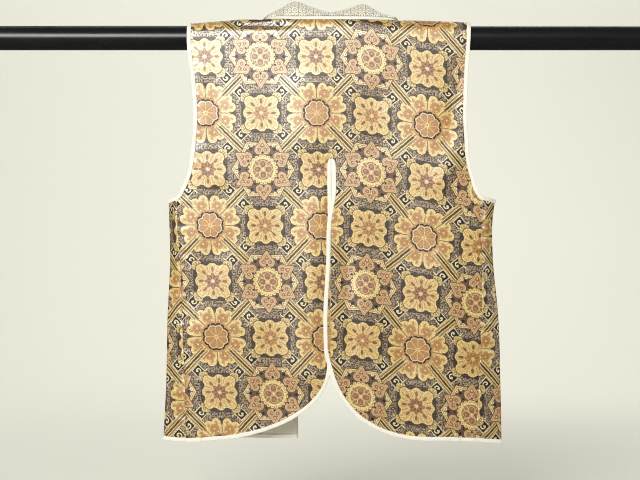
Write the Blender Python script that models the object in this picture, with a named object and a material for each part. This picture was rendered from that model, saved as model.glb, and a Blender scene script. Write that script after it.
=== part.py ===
"""A sleeveless brocade surcoat hung by its armholes on a round rod, shown from its back.

The back hangs on the near side of the rod and the two fronts behind it. A narrow gusset
joins them at each side. The back is open from the waist down, and its right half laps
over the left one. Metres: X to the right, Y away from the viewer, Z up. The origin lies
on the rod's axis at its middle.
"""
import bpy
import numpy as np

# The rod
ROD_RADIUS = 0.0243
ROD_LENGTH = 1.40
ROD_SIDES = 48
ROD_CHAMFER = 0.001

# Thickness of each wall, and the gap left at every seam
BROCADE = 0.002
LINING = 0.001
TAPE = 0.001
COLLAR = 0.0025
GAP = 0.0003

# The bound edges: how far the tape reaches over the cloth, and past its cut edge
TAPE_COVER = 0.0067
TAPE_CLEAR = 0.0005
TAPE_PAST = GAP + TAPE
TAPE_OUT = BROCADE / 2 + TAPE_CLEAR + TAPE

# Heights of the hems, the vent's top, the top of the side seams and the neckline
BACK_HEM = -0.8012
FRONT_HEM = {"left": -0.8054, "right": -0.7990}
VENT_TOP = -0.242
VENT_SPLIT = 0.005
SEAM_TOP = -0.318
GUSSET_DIP = 0.006
NECK_HALF = 0.134
NECK_Z = 0.0342
NECK_RISE = 0.0105

# How far the cloth's middle stands from the rod's axis, and how it draws in at the hem
HANG = ROD_RADIUS + 2 * GAP + TAPE_OUT
SIDE_DRAW = 0.006
ARCH_POWER = 0.8

# Top of the cloth over the rod, from the left armhole to the right one
SHOULDER = {
    "x": (-0.284, -0.240, -0.200, -0.134, 0.134, 0.200, 0.250, 0.279),
    "top": (0.0282, 0.0318, 0.0350, 0.0362, 0.0362, 0.0346, 0.0330, 0.0305),
}

# Finished edge of each armhole, as distances from the middle
ARMHOLE = {
    "z": (0.026, -0.026, -0.074, -0.124, -0.176, -0.202, -0.240, -0.278, -0.304, -0.318),
    "left": (0.285, 0.284, 0.277, 0.273, 0.272, 0.274, 0.278, 0.286, 0.297, 0.3045),
    "right": (0.281, 0.278, 0.275, 0.273, 0.273, 0.275, 0.277, 0.286, 0.294, 0.3030),
}

# Side seams and the outer folds of the gussets, as distances from the middle
SIDE = {
    "z": (-0.318, -0.374, -0.440, -0.560, -0.690, -0.810),
    "left_seam": (0.3045, 0.3040, 0.2990, 0.2950, 0.2890, 0.2875),
    "left_fold": (0.3220, 0.3205, 0.3190, 0.3240, 0.3270, 0.3330),
    "right_seam": (0.3030, 0.3035, 0.3025, 0.3020, 0.2970, 0.2905),
    "right_fold": (0.3300, 0.3240, 0.3250, 0.3360, 0.3405, 0.3430),
}

# Finished edges of the vent's two halves, and how far each is lapped out of the plane
VENT = {
    "z": (-0.242, -0.320, -0.365, -0.450, -0.562, -0.610, -0.641),
    "left": (0.0025, 0.0025, 0.0035, 0.0040, 0.0030, 0.0025, 0.0020),
    "right": (0.0028, 0.0028, -0.0050, -0.0080, -0.0135, -0.0125, -0.0105),
    "lap": (0.0000, 0.0028, 0.0032, 0.0034, 0.0034, 0.0034, 0.0034),
}
LAP_FADE = 0.09

# Rounded corners where the vent meets the back's hem: width and height of each
CORNER = {"left": (0.240, 0.147), "right": (0.190, 0.172)}

# How much lower the hem hangs towards the sides, and at the fold of each gusset
HEM_SAG = {
    "x": (-0.300, -0.265, -0.235, -0.200, 0.150, 0.190, 0.240, 0.290, 0.310),
    "drop": (0.0037, 0.0037, 0.0008, 0.0000, 0.0000, 0.0010, 0.0018, 0.0037, 0.0040),
}
GUSSET_SAG = {"left": -0.0014, "right": 0.0062}
SAG_FROM = -0.600

# Front edges, as distances from the middle: the neck's slope, then down to the hem
FRONT_EDGE = {
    "z": (0.026, 0.000, -0.100, -0.200, -0.300, -0.370, -0.500, -0.650, -0.810),
    "left": (0.134, 0.131, 0.113, 0.092, 0.073, 0.0655, 0.0650, 0.0650, 0.0650),
    "right": (0.134, 0.131, 0.113, 0.093, 0.077, 0.0750, 0.0880, 0.1140, 0.1370),
}
CHEST = -0.345

# Soft vertical waves: length, depth at the hem and phase of each
BACK_WAVES = ((0.235, 0.0030, 0.6), (0.131, 0.0014, 2.1))
LEFT_WAVES = ((0.150, 0.0040, 1.0), (0.083, 0.0014, 0.3))
RIGHT_FOLDS = 2
RIGHT_FOLD_DEPTH = 0.040

# The roll of piping round the neck: half its height and half its thickness
ROLL_HEIGHT = 0.0044
ROLL_THICK = 0.0020

# The collar behind the neck: how far its top edge rises and reaches forward
COLLAR_BACK = {
    "x": (-0.134, -0.120, -0.098, -0.072, -0.035, 0.006, 0.040, 0.066, 0.092, 0.112, 0.134),
    "rise": (-0.012, 0.002, 0.018, 0.030, 0.019, 0.008, 0.018, 0.025, 0.016, 0.002, -0.012),
    "reach": (0.034, 0.036, 0.034, 0.028, 0.033, 0.036, 0.034, 0.031, 0.034, 0.036, 0.034),
}
COLLAR_BEND = 0.090
COLLAR_TURN = 0.012
COLLAR_BULGE = 0.003
COLLAR_CLEAR = COLLAR / 2 + 5 * GAP

# The lapels that the collar runs into on the fronts
LAPEL = {
    "z": (-0.345, -0.300, -0.240, -0.150, -0.050, 0.000),
    "width": (0.004, 0.016, 0.030, 0.040, 0.043, 0.043),
}
LAPEL_LIFT = 0.003

# The lining on the left front stops short of the front edge and of the bound hem
LINING_INSET = 0.003
LINING_HEM = 0.0100

# Stations: turns over the rod, then heights down the cloth
ARCH_TURNS = np.radians((0.0, 22.5, 45.0, 67.5, 90.0))
UPPER = (-0.040, -0.080, -0.120, -0.160, -0.202, VENT_TOP)
MIDDLE = (VENT_TOP - VENT_SPLIT, -0.270, -0.296, SEAM_TOP)
LOWER = (-0.345, -0.390, -0.440, -0.490, -0.545, -0.600, -0.650, -0.700, -0.750, BACK_HEM)
HEIGHTS = np.array(UPPER + MIDDLE + LOWER)
ARCH_ROWS = len(ARCH_TURNS)
VENT_ROW = ARCH_ROWS + len(UPPER) - 1
SEAM_ROW = VENT_ROW + len(MIDDLE)
ROWS = ARCH_ROWS + len(HEIGHTS)
NECK_STEPS = 8
SHOULDER_STEPS = 4
GUSSET_STEPS = 12
LEFT_FRONT_STEPS = 8
RIGHT_FRONT_STEPS = 24

# Colours: base colour, roughness, metallic
FINISHES = {
    "gold_brocade": ((0.52, 0.40, 0.20, 1.0), 0.45, 0.35),
    "white_brocade": ((0.82, 0.79, 0.70, 1.0), 0.50, 0.0),
    "white_tape": ((0.93, 0.91, 0.84, 1.0), 0.55, 0.0),
    "lining": ((0.60, 0.56, 0.52, 1.0), 0.60, 0.0),
    "black_gloss": ((0.012, 0.012, 0.013, 1.0), 0.18, 0.0),
}


def clear_scene():
    """Removes every object that the scene starts with."""
    for item in list(bpy.data.objects):
        bpy.data.objects.remove(item, do_unlink=True)


def finish(name):
    """Gives a Principled material with the named colour, roughness and metallic value."""
    material = bpy.data.materials.get(name)
    if material is None:
        colour, roughness, metallic = FINISHES[name]
        material = bpy.data.materials.new(name)
        material.use_nodes = True
        shader = material.node_tree.nodes["Principled BSDF"]
        shader.inputs["Base Color"].default_value = colour
        shader.inputs["Roughness"].default_value = roughness
        shader.inputs["Metallic"].default_value = metallic
    return material


def smooth(table, across, column, at):
    """Reads a table's column as a smooth curve through its rows, flat beyond its ends."""
    order = np.argsort(table[across])
    known = np.array(table[across])[order]
    value = np.array(table[column])[order]
    slope = np.gradient(value, known)
    at = np.clip(at, known[0], known[-1])
    left = np.clip(np.searchsorted(known, at) - 1, 0, len(known) - 2)
    span = known[left + 1] - known[left]
    f = (at - known[left]) / span
    rise = value[left] * (1 + 2 * f) * (1 - f) ** 2 + value[left + 1] * f * f * (3 - 2 * f)
    bend = slope[left] * f * (1 - f) ** 2 - slope[left + 1] * f * f * (1 - f)
    return rise + bend * span


def ease(f):
    """Runs from 0 to 1 with level ends."""
    f = np.clip(f, 0.0, 1.0)
    return f * f * (3 - 2 * f)


def unit(vectors):
    """Scales each vector to length one."""
    return vectors / np.linalg.norm(vectors, axis=-1, keepdims=True)


def crest(x):
    """Height of the cloth's middle over the rod; it rises on where the neck is cut away."""
    inside = np.clip(1 - (x / NECK_HALF) ** 2, 0.0, 1.0)
    return smooth(SHOULDER, "x", "top", x) - BROCADE / 2 + NECK_RISE * np.sqrt(inside)


def waves(x, table):
    """Adds up the soft vertical waves of a table at one place across the cloth."""
    total = 0.0 * x
    for length, depth, phase in table:
        total = total + depth * np.cos(2 * np.pi * x / length + phase)
    return total


def arch(x, turn, side):
    """A point of the cloth where it bends over the rod; side is -1 at the back, 1 in front."""
    y = side * HANG * np.sin(turn)
    z = crest(x) * np.cos(turn) ** ARCH_POWER
    return np.stack((x, y + 0 * x, z), axis=-1)


def sag(z):
    """How far a height is into the part that sags: 0 down to SAG_FROM, then up to 1."""
    return np.clip((z - SAG_FROM) / (BACK_HEM - SAG_FROM), 0.0, 1.0) ** 2


def fall(x, z, side, table):
    """A point of the cloth below the rod: it hangs down, draws in at the sides and waves."""
    down = np.clip(z / BACK_HEM, 0.0, 1.0)
    draw = SIDE_DRAW * down * np.clip(np.abs(x) / 0.29, 0.0, 1.2) ** 4
    quiet = np.clip(1 - (np.abs(x) / 0.31) ** 4, 0.0, 1.0)
    out = HANG - draw + waves(x, table) * down * quiet
    return np.stack((x, side * out, z - smooth(HEM_SAG, "x", "drop", x) * sag(z)), axis=-1)


class Panel:
    """A sheet of cloth as its middle surface: points, quads and a normal at each point."""

    def __init__(self, points, quads):
        self.points = points
        self.quads = quads
        self.normals = self.point_normals()

    def point_normals(self):
        """Adds up the face normals round each point."""
        corner = self.points[self.quads]
        face = np.cross(corner[:, 2] - corner[:, 0], corner[:, 3] - corner[:, 1])
        total = np.zeros_like(self.points)
        for i in range(4):
            np.add.at(total, self.quads[:, i], face)
        return unit(total)


def grid_quads(index, flip):
    """Joins neighbouring rows and columns of a grid of point numbers into quads."""
    a, b = index[:-1, :-1], index[:-1, 1:]
    c, d = index[1:, 1:], index[1:, :-1]
    order = (a, d, c, b) if flip else (a, b, c, d)
    return np.stack(order, axis=-1).reshape(-1, 4)


def number(grid):
    """Numbers a grid's points row by row."""
    return np.arange(grid.shape[0] * grid.shape[1]).reshape(grid.shape[:2])


def grid_panel(grid, flip=False):
    """Makes a panel of one grid, and gives its point numbers too."""
    index = number(grid)
    return Panel(grid.reshape(-1, 3), grid_quads(index, flip)), index


def level_normals(panel, row):
    """Turns a row's normals into the plane of the shoulder seam, to cut its edge square."""
    panel.normals[row, 1] = 0.0
    panel.normals[row] = unit(panel.normals[row])


def share_normals(first, first_row, second, second_row):
    """Gives both sides of a seam the same normals, so that their cut edges face each other."""
    mean = unit(first.normals[first_row] + second.normals[second_row])
    first.normals[first_row] = mean
    second.normals[second_row] = mean


def holds_volume(points, faces):
    """Whether faces that close a body point outwards: its signed volume is then above zero."""
    total = 0.0
    for face in faces:
        for i in range(1, len(face) - 1):
            total += np.dot(points[face[0]], np.cross(points[face[i]], points[face[i + 1]]))
    return total > 0


def make_object(name, points, faces, material):
    """Puts points and faces into a new object of that name, faces outwards."""
    if not holds_volume(points, faces):
        faces = [tuple(face)[::-1] for face in faces]
    mesh = bpy.data.meshes.new(name)
    mesh.from_pydata([tuple(p) for p in points], [], [tuple(f) for f in faces])
    mesh.materials.append(finish(material))
    mesh.update()
    item = bpy.data.objects.new(name, mesh)
    bpy.context.scene.collection.objects.link(item)
    return item


def wall(name, panel, thickness, material):
    """Gives a panel its thickness: two faces half of it apart, and a rim at every free edge."""
    half = panel.normals * thickness / 2
    count = len(panel.points)
    points = np.concatenate((panel.points + half, panel.points - half))
    faces = [tuple(quad) for quad in panel.quads]
    faces += [tuple(count + i for i in quad[::-1]) for quad in panel.quads]
    edges = {(quad[i], quad[(i + 1) % 4]) for quad in panel.quads for i in range(4)}
    for a, b in sorted(edges):
        if (b, a) not in edges:
            faces.append((b, a, count + a, count + b))
    return make_object(name, points, faces, material)


def tube(name, rings, material, closed):
    """Joins equal rings of points into one body, open-ended with caps or closed in a loop."""
    count, sides = rings.shape[:2]
    faces = []
    for i in range(count if closed else count - 1):
        here, after = i * sides, (i + 1) % count * sides
        for k in range(sides):
            m = (k + 1) % sides
            faces.append((here + k, here + m, after + m, after + k))
    if not closed:
        faces.append(tuple(range(sides))[::-1])
        faces.append(tuple((count - 1) * sides + k for k in range(sides)))
    return make_object(name, rings.reshape(-1, 3), faces, material)


def along(path, closed):
    """Direction of a path at each of its points."""
    if closed:
        return unit(np.roll(path, -1, axis=0) - np.roll(path, 1, axis=0))
    step = unit(np.diff(path, axis=0))
    return unit(np.concatenate((step[:1], step[:-1] + step[1:], step[-1:])))


def edge_frame(path, normals, closed=False):
    """At each point of a cloth's edge: the way out of the cloth, and its face's normal."""
    out = unit(np.cross(along(path, closed), normals))
    return out, normals


def tape(name, path, normals, closed):
    """Binds an edge: a folded strip whose section is a C round the cloth's cut edge."""
    out, face = edge_frame(path, normals, closed)
    inner = BROCADE / 2 + TAPE_CLEAR
    bend = TAPE * 0.9
    section = (
        (-TAPE_COVER, TAPE_OUT), (TAPE_PAST - bend, TAPE_OUT),
        (TAPE_PAST, TAPE_OUT - bend), (TAPE_PAST, bend - TAPE_OUT),
        (TAPE_PAST - bend, -TAPE_OUT), (-TAPE_COVER, -TAPE_OUT),
        (-TAPE_COVER, -inner), (GAP, -inner), (GAP, inner), (-TAPE_COVER, inner),
    )
    rings = np.stack([path + out * a + face * b for a, b in section], axis=1)
    return tube(name, rings, "white_tape", closed)


def armhole_edge(side, z):
    """Distance of an armhole's cut edge from the middle; the tape stands past it."""
    return smooth(ARMHOLE, "z", side, z) - TAPE_PAST


def side_edge(side, z):
    """Distance of the cloth's outer edge: along the armhole, then along the side seam."""
    seam = smooth(SIDE, "z", side + "_seam", z) - GAP / 2
    return np.where(z > SEAM_TOP + 1e-6, armhole_edge(side, z), seam)


def back_half(side):
    """Grid of half the back, from the middle or the vent outwards, and from the top down."""
    way = -1.0 if side == "left" else 1.0
    middle = (VENT["left"][0] + VENT["right"][0]) / 2
    turn = np.linspace(0.0, np.pi / 2, NECK_STEPS + 1)
    neck = np.where(turn > 0, way * NECK_HALF * np.sin(turn), middle)
    width, height = CORNER[side]
    corner_x = VENT[side][-1] + way * (TAPE_PAST + width * (1 - np.cos(turn)))
    corner_z = BACK_HEM + height * (1 - np.sin(turn))
    spread = np.linspace(0.0, 1.0, SHOULDER_STEPS + 1)[1:]
    grid = np.zeros((ROWS, NECK_STEPS + SHOULDER_STEPS + 1, 3))
    for row in range(ROWS):
        if row < ARCH_ROWS:
            edge = way * armhole_edge(side, 0.026 * np.cos(ARCH_TURNS[row]))
            x = np.concatenate((neck, neck[-1] + (edge - neck[-1]) * spread))
            reach = np.clip(NECK_Z / crest(x), 0.0, 1.0)
            first = np.where(np.abs(x) < NECK_HALF - 1e-9, np.arccos(reach ** (1 / ARCH_POWER)), 0.0)
            turns = first + (np.pi / 2 - first) * ARCH_TURNS[row] / ARCH_TURNS[-1]
            grid[row] = arch(x, turns, -1)
            continue
        z = HEIGHTS[row - ARCH_ROWS]
        edge = way * side_edge(side, z)
        v = np.clip((z - VENT_TOP) / (BACK_HEM - VENT_TOP), 0.0, 1.0)
        inner_z = VENT_TOP + (corner_z - VENT_TOP) * v if row > VENT_ROW else np.full(turn.shape, z)
        inner_x = neck + (corner_x - neck) * ease(v)
        if row > VENT_ROW:
            vent = smooth(VENT, "z", side, inner_z[0]) + way * TAPE_PAST
            inner_x[0] = vent
            inner_x[1] = max(inner_x[1] * way, vent * way + 0.004) * way
        outer_x = inner_x[-1] + (edge - inner_x[-1]) * spread
        x = np.concatenate((inner_x, outer_x))
        zs = np.concatenate((inner_z, np.full(spread.shape, z)))
        grid[row] = fall(x, zs, -1, BACK_WAVES)
        lap = smooth(VENT, "z", "lap", zs) * np.exp(-((x - inner_x[0]) / LAP_FADE) ** 2)
        grid[row, :, 1] -= way * lap * (row > VENT_ROW)
    grid[0, NECK_STEPS:, 1] -= GAP / 2
    return grid


def make_back():
    """The whole back: both halves, one piece down to the vent's top and parted below it."""
    left, right = back_half("left"), back_half("right")
    left_index = number(left)
    right_index = number(right) + left_index.size
    right_index[:VENT_ROW + 1, 0] = left_index[:VENT_ROW + 1, 0]
    points = np.concatenate((left.reshape(-1, 3), right.reshape(-1, 3)))
    quads = np.concatenate((grid_quads(left_index, False), grid_quads(right_index, True)))
    used, place = np.unique(quads, return_inverse=True)
    lookup = np.zeros(len(points), dtype=int)
    lookup[used] = np.arange(len(used))
    panel = Panel(points[used], place.reshape(-1, 4))
    return panel, {"left": lookup[left_index], "right": lookup[right_index]}


def make_front(side):
    """One front, from the side inwards and from the shoulder down to the hem."""
    way = -1.0 if side == "left" else 1.0
    steps = LEFT_FRONT_STEPS if side == "left" else RIGHT_FRONT_STEPS
    f = np.linspace(0.0, 1.0, steps + 1)
    grid = np.zeros((ROWS, steps + 1, 3))
    for row in range(ROWS):
        if row < ARCH_ROWS:
            level = 0.026 * np.cos(ARCH_TURNS[row])
            edge = armhole_edge(side, level)
            inner = smooth(FRONT_EDGE, "z", side, level)
            grid[row] = arch(way * (edge + (inner - edge) * f), ARCH_TURNS[row], 1)
            continue
        z = HEIGHTS[row - ARCH_ROWS]
        edge = side_edge(side, z)
        inner = smooth(FRONT_EDGE, "z", side, z)
        x = way * (edge + (inner - edge) * f)
        lower = z + (0 if row < ROWS - 1 else FRONT_HEM[side] - z) * f
        grid[row] = fall(x, lower, 1, LEFT_WAVES if side == "left" else ())
        if side == "right":
            depth = RIGHT_FOLD_DEPTH * ease((z - VENT_TOP) / (BACK_HEM - VENT_TOP))
            grid[row, :, 1] += depth * (1 - np.cos(2 * np.pi * RIGHT_FOLDS * f)) / 2
    grid[0, :, 1] += GAP / 2
    return grid_panel(grid, flip=side == "right")


def make_gusset(side, back, back_index, front, front_index):
    """A side strip: each row is half an ellipse from the back's seam round to the front's."""
    way = -1.0 if side == "left" else 1.0
    angle = np.linspace(-np.pi / 2, np.pi / 2, GUSSET_STEPS + 1)
    rows = range(SEAM_ROW, ROWS)
    grid = np.zeros((len(rows), len(angle), 3))
    for i, row in enumerate(rows):
        start = back.points[back_index[row, -1]] + (way * GAP, 0, 0)
        end = front.points[front_index[row, 0]] + (way * GAP, 0, 0)
        f = (1 + np.sin(angle)) / 2
        grid[i] = start + (end - start) * f[:, None]
        fold = smooth(SIDE, "z", side + "_fold", start[2]) - BROCADE / 2
        grid[i, :, 0] += way * (fold - abs(start[0])) * np.cos(angle)
        grid[i, :, 2] -= GUSSET_SAG[side] * sag(start[2]) * np.cos(angle) ** 2
        if i == 0:
            grid[i, :, 2] -= GUSSET_DIP * np.cos(angle) ** 2
    return grid_panel(grid, flip=side == "right")


def seam_point(first, a, second, b):
    """The middle of a seam's end, and the mean normal there."""
    point = (first.points[a] + second.points[b]) / 2
    return point, unit(first.normals[a] + second.normals[b])


def joined_edge(pieces):
    """Chains the edges of several panels; where two meet, they share one middle point."""
    path, normals = [], []
    for i, (panel, edge) in enumerate(pieces):
        points, faces = list(panel.points[edge]), list(panel.normals[edge])
        if i > 0:
            before, last = pieces[i - 1][0], pieces[i - 1][1][-1]
            point, normal = seam_point(before, last, panel, edge[0])
            path[-1], normals[-1] = point, normal
            points, faces = points[1:], faces[1:]
        path += points
        normals += faces
    return np.array(path), np.array(normals)


def bind_armhole(side, back, back_index, front, front_index, gusset, gusset_index):
    """Tape all round an armhole: down the back, over the gusset and up the front."""
    pieces = [
        (back, back_index[:SEAM_ROW + 1, -1]),
        (gusset, gusset_index[0]),
        (front, front_index[:SEAM_ROW + 1, 0][::-1]),
    ]
    path, normals = joined_edge(pieces)
    top, face = seam_point(front, front_index[0, 0], back, back_index[0, -1])
    path, normals = path[:-1], normals[:-1]
    path[0], normals[0] = top, face
    if side == "right":
        path, normals = path[::-1], normals[::-1]
    tape("armhole_tape_" + side, path, normals, closed=True)


def bind_hem(side, back, back_index, front, front_index, gusset, gusset_index):
    """Tape from the vent's top down its edge, round the corner and along all the hems."""
    inner = back_index[VENT_ROW + 1:, 0]
    bottom = back_index[-1, 1:]
    pieces = [
        (back, np.concatenate((inner, bottom))),
        (gusset, gusset_index[-1]),
        (front, front_index[-1]),
    ]
    path, normals = joined_edge(pieces)
    if side == "left":
        path, normals = path[::-1], normals[::-1]
    tape("hem_tape_" + side, path, normals, closed=False)


def neck_line(back, back_index, fronts):
    """The edge that carries the collar: up the right front, round the neck, down the left."""
    rows = ARCH_ROWS + int(np.sum(HEIGHTS >= CHEST - 1e-6))
    left, left_index = fronts["left"]
    right, right_index = fronts["right"]
    behind = np.concatenate((
        back_index["right"][0, :NECK_STEPS + 1][::-1], back_index["left"][0, 1:NECK_STEPS + 1]))
    pieces = [
        (right, right_index[:rows, -1][::-1]),
        (back, behind),
        (left, left_index[:rows, -1]),
    ]
    path, normals = joined_edge(pieces)
    return path, normals, rows


def make_collar(path, normals, rows):
    """The collar: it stands and leans forward behind the neck, and lies flat on the fronts."""
    out, face = edge_frame(path, normals)
    count = len(path)
    base = np.zeros((count, 3))
    lean = np.zeros((count, 3))
    bulge = np.zeros((count, 3))
    for i in range(count):
        front = i < rows - 1 or i > count - rows
        way = 1.0 if i < count / 2 else -1.0
        station = rows - 1 - i if i < count / 2 else i - (count - rows)
        x = np.clip(path[i, 0], -NECK_HALF, NECK_HALF)
        corner = ease((abs(x) - COLLAR_BEND) / (NECK_HALF - COLLAR_BEND))
        flat = ease(station / (ARCH_ROWS - 1)) if front else 0.0
        swing = (1.0 if front else corner) * np.pi / 2
        over = (ROLL_HEIGHT + COLLAR_CLEAR) * np.cos(swing)
        above = (ROLL_THICK + COLLAR_CLEAR) * np.sin(swing)
        base[i] = path[i] + out[i] * (ROLL_HEIGHT + GAP + over) + face[i] * above
        rise = smooth(COLLAR_BACK, "x", "rise", x)
        reach = smooth(COLLAR_BACK, "x", "reach", x)
        standing = np.array((way * COLLAR_TURN * corner, reach, rise))
        width = smooth(LAPEL, "z", "width", path[i, 2])
        lying = np.array((way * width, LAPEL_LIFT * width / 0.04, 0.0))
        lean[i] = standing * (1 - flat) + lying * flat
        bulge[i] = unit(np.array((0.0, -rise, reach))) * (1 - flat) + np.array((0.0, flat, 0.0))
    f = np.linspace(0.0, 1.0, 5)
    size = COLLAR_BULGE * np.linalg.norm(lean, axis=1, keepdims=True) / 0.04
    grid = base[:, None] + lean[:, None] * f[None, :, None]
    grid += (bulge * size)[:, None] * np.sin(np.pi * f)[None, :, None]
    panel, _ = grid_panel(grid, flip=False)
    wall("collar", panel, COLLAR, "white_brocade")


def make_roll(path, normals):
    """The piping between the neck's edge and the collar: an oval section on the edge."""
    out, face = edge_frame(path, normals)
    centre = path + out * (ROLL_HEIGHT + GAP)
    turns = np.arange(8) * np.pi / 4
    rings = np.stack([
        centre + out * ROLL_HEIGHT * np.cos(a) + face * ROLL_THICK * np.sin(a) for a in turns
    ], axis=1)
    tube("neck_piping", rings, "white_tape", closed=False)


def make_lining(front, index):
    """The lining of the left front, moved in from the front's own points."""
    inward = BROCADE / 2 + GAP + LINING / 2
    grid = (front.points - front.normals * inward)[index[SEAM_ROW + 1:]]
    edge = grid[:, -1] - grid[:, -2]
    grid[:, -1] -= edge * LINING_INSET / np.linalg.norm(edge, axis=1)[:, None]
    drop = grid[-1] - grid[-2]
    grid[-1] -= drop * LINING_HEM / np.linalg.norm(drop, axis=1)[:, None]
    grid[:, 0] += (grid[:, 1] - grid[:, 0]) * 0.05
    panel, _ = grid_panel(grid, flip=True)
    wall("lining_front_left", panel, LINING, "lining")


def make_rod():
    """The rod: a plain round bar with its edges broken."""
    turns = np.arange(ROD_SIDES) * 2 * np.pi / ROD_SIDES
    half = ROD_LENGTH / 2
    stations = ((-half, ROD_RADIUS - ROD_CHAMFER), (ROD_CHAMFER - half, ROD_RADIUS),
                (half - ROD_CHAMFER, ROD_RADIUS), (half, ROD_RADIUS - ROD_CHAMFER))
    rings = np.stack([
        np.stack((np.full(ROD_SIDES, x), r * np.cos(turns), r * np.sin(turns)), axis=-1)
        for x, r in stations
    ])
    tube("rod", rings, "black_gloss", closed=False)


def main():
    """Builds every piece of the surcoat and the rod."""
    clear_scene()
    back, back_index = make_back()
    fronts = {side: make_front(side) for side in ("left", "right")}
    gussets = {}
    for side, (front, index) in fronts.items():
        level_normals(back, back_index[side][0, NECK_STEPS:])
        level_normals(front, index[0])
        gussets[side] = make_gusset(side, back, back_index[side], front, index)
        gusset, strip = gussets[side]
        share_normals(back, back_index[side][SEAM_ROW:, -1], gusset, strip[:, 0])
        share_normals(front, index[SEAM_ROW:, 0], gusset, strip[:, -1])
    wall("back", back, BROCADE, "gold_brocade")
    for side, (front, index) in fronts.items():
        gusset, strip = gussets[side]
        wall("front_" + side, front, BROCADE, "gold_brocade")
        wall("gusset_" + side, gusset, BROCADE, "gold_brocade")
        bind_armhole(side, back, back_index[side], front, index, gusset, strip)
        bind_hem(side, back, back_index[side], front, index, gusset, strip)
    path, normals, rows = neck_line(back, back_index, fronts)
    make_roll(path, normals)
    make_collar(path, normals, rows)
    make_lining(*fronts["left"])
    make_rod()


main()
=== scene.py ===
"""The looks of a sleeveless brocade surcoat that hangs by its armholes on a round black rod.

Every sewn piece is worked out again on a finer grid from the sizes that its solid has, with
the creases of the hanging cloth laid in one by one. Metres: X to the right as seen from the
garment's back, Y away from the viewer, Z up; the origin is on the rod's axis.
"""

import bpy
import numpy as np
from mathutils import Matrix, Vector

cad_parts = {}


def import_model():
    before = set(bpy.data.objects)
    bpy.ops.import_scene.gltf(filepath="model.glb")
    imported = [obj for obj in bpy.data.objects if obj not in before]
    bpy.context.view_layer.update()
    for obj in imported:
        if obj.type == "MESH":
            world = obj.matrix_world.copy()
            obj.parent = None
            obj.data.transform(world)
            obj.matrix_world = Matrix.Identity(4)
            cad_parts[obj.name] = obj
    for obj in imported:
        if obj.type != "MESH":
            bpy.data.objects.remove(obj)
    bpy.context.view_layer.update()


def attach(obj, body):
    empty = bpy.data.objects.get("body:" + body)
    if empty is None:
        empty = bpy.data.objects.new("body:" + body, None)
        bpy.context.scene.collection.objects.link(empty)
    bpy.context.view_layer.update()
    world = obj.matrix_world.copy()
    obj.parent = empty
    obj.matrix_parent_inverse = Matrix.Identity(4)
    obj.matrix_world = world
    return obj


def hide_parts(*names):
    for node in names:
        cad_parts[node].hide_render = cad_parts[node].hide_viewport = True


PI = np.pi

# The rod
ROD_RADIUS = 0.0243
ROD_LENGTH = 1.40
ROD_EDGE = 0.001
ROD_SIDES = 160

# Thickness of each wall, and the gap left at every seam
BROCADE = 0.002
LINING = 0.001
TAPE = 0.001
COLLAR = 0.0025
GAP = 0.0003

# The bound edges: how far the tape reaches over the cloth, and past its cut edge
TAPE_COVER = 0.0067
TAPE_CLEAR = 0.0005
TAPE_PAST = GAP + TAPE
TAPE_OUT = BROCADE / 2 + TAPE_CLEAR + TAPE
LEG_REACH = (-TAPE_COVER, -TAPE_COVER + 0.0004, -0.0045, -0.0022)
LEG_BULGE = (-0.00045, 0.0, 0.00012, 0.00008)
ROUND_REACH = 0.016
ROUND_LEFT = 0.16

# How each trim's size sways along its edge: rows of share or depth, spacing and phase
TAPE_SWELL = ((0.045, 0.0061, 0.0), (0.040, 0.0143, 1.0))
TAPE_SWAY = ((0.030, 0.0210, 0.0), (0.020, 0.0087, 0.0))
ROLL_SWELL = ((0.030, 0.0067, 0.0), (0.025, 0.0151, 0.0))
COLLAR_RIPPLE = ((0.0007, 0.0074, 0.0), (0.0006, 0.0121, 0.8))

# How far a cloth's rounded rim stands out, as a share of its thickness
RIM_SHARE = 0.32

# Heights of the hems, the vent's top, the top of the side seams and the neckline
BACK_HEM = -0.8012
FRONT_HEM = {"left": -0.8054, "right": -0.7990}
VENT_TOP = -0.242
VENT_SPLIT = 0.0012
SEAM_TOP = -0.318

NECK_HALF = 0.134
NECK_Z = 0.0342
NECK_RISE = 0.0105
NECK_CORNER = 0.007

# The first columns beside the vent keep this much room from one to the next
VENT_ROOM = 0.0022
VENT_COLUMNS = 4

# How far the cloth's middle stands from the rod's axis, and how it draws in at the hem
HANG = ROD_RADIUS + 2 * GAP + TAPE_OUT
SIDE_DRAW = 0.006
DRAW_REACH = 0.29
ARCH_POWER = 0.8
RIM_LEVEL = 0.026

# Top of the cloth over the rod, from the left armhole to the right one
SHOULDER = {
    "x": (-0.284, -0.240, -0.200, -0.134, 0.134, 0.200, 0.250, 0.279),
    "top": (0.0282, 0.0318, 0.0350, 0.0362, 0.0362, 0.0346, 0.0330, 0.0305),
}

# Finished edge of each armhole, as distances from the middle
ARMHOLE = {
    "z": (0.026, -0.026, -0.074, -0.124, -0.176, -0.202, -0.240, -0.278, -0.304, -0.318),
    "left": (0.285, 0.284, 0.277, 0.273, 0.272, 0.274, 0.278, 0.286, 0.297, 0.3045),
    "right": (0.281, 0.278, 0.275, 0.273, 0.273, 0.275, 0.277, 0.286, 0.294, 0.3030),
}

# Side seams and the outer folds of the gussets, as distances from the middle
SIDE = {
    "z": (-0.318, -0.374, -0.440, -0.560, -0.690, -0.810),
    "left_seam": (0.3045, 0.3040, 0.2990, 0.2950, 0.2890, 0.2875),
    "left_fold": (0.3220, 0.3205, 0.3190, 0.3240, 0.3270, 0.3330),
    "right_seam": (0.3030, 0.3035, 0.3025, 0.3020, 0.2970, 0.2905),
    "right_fold": (0.3300, 0.3240, 0.3250, 0.3360, 0.3405, 0.3430),
}

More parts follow.
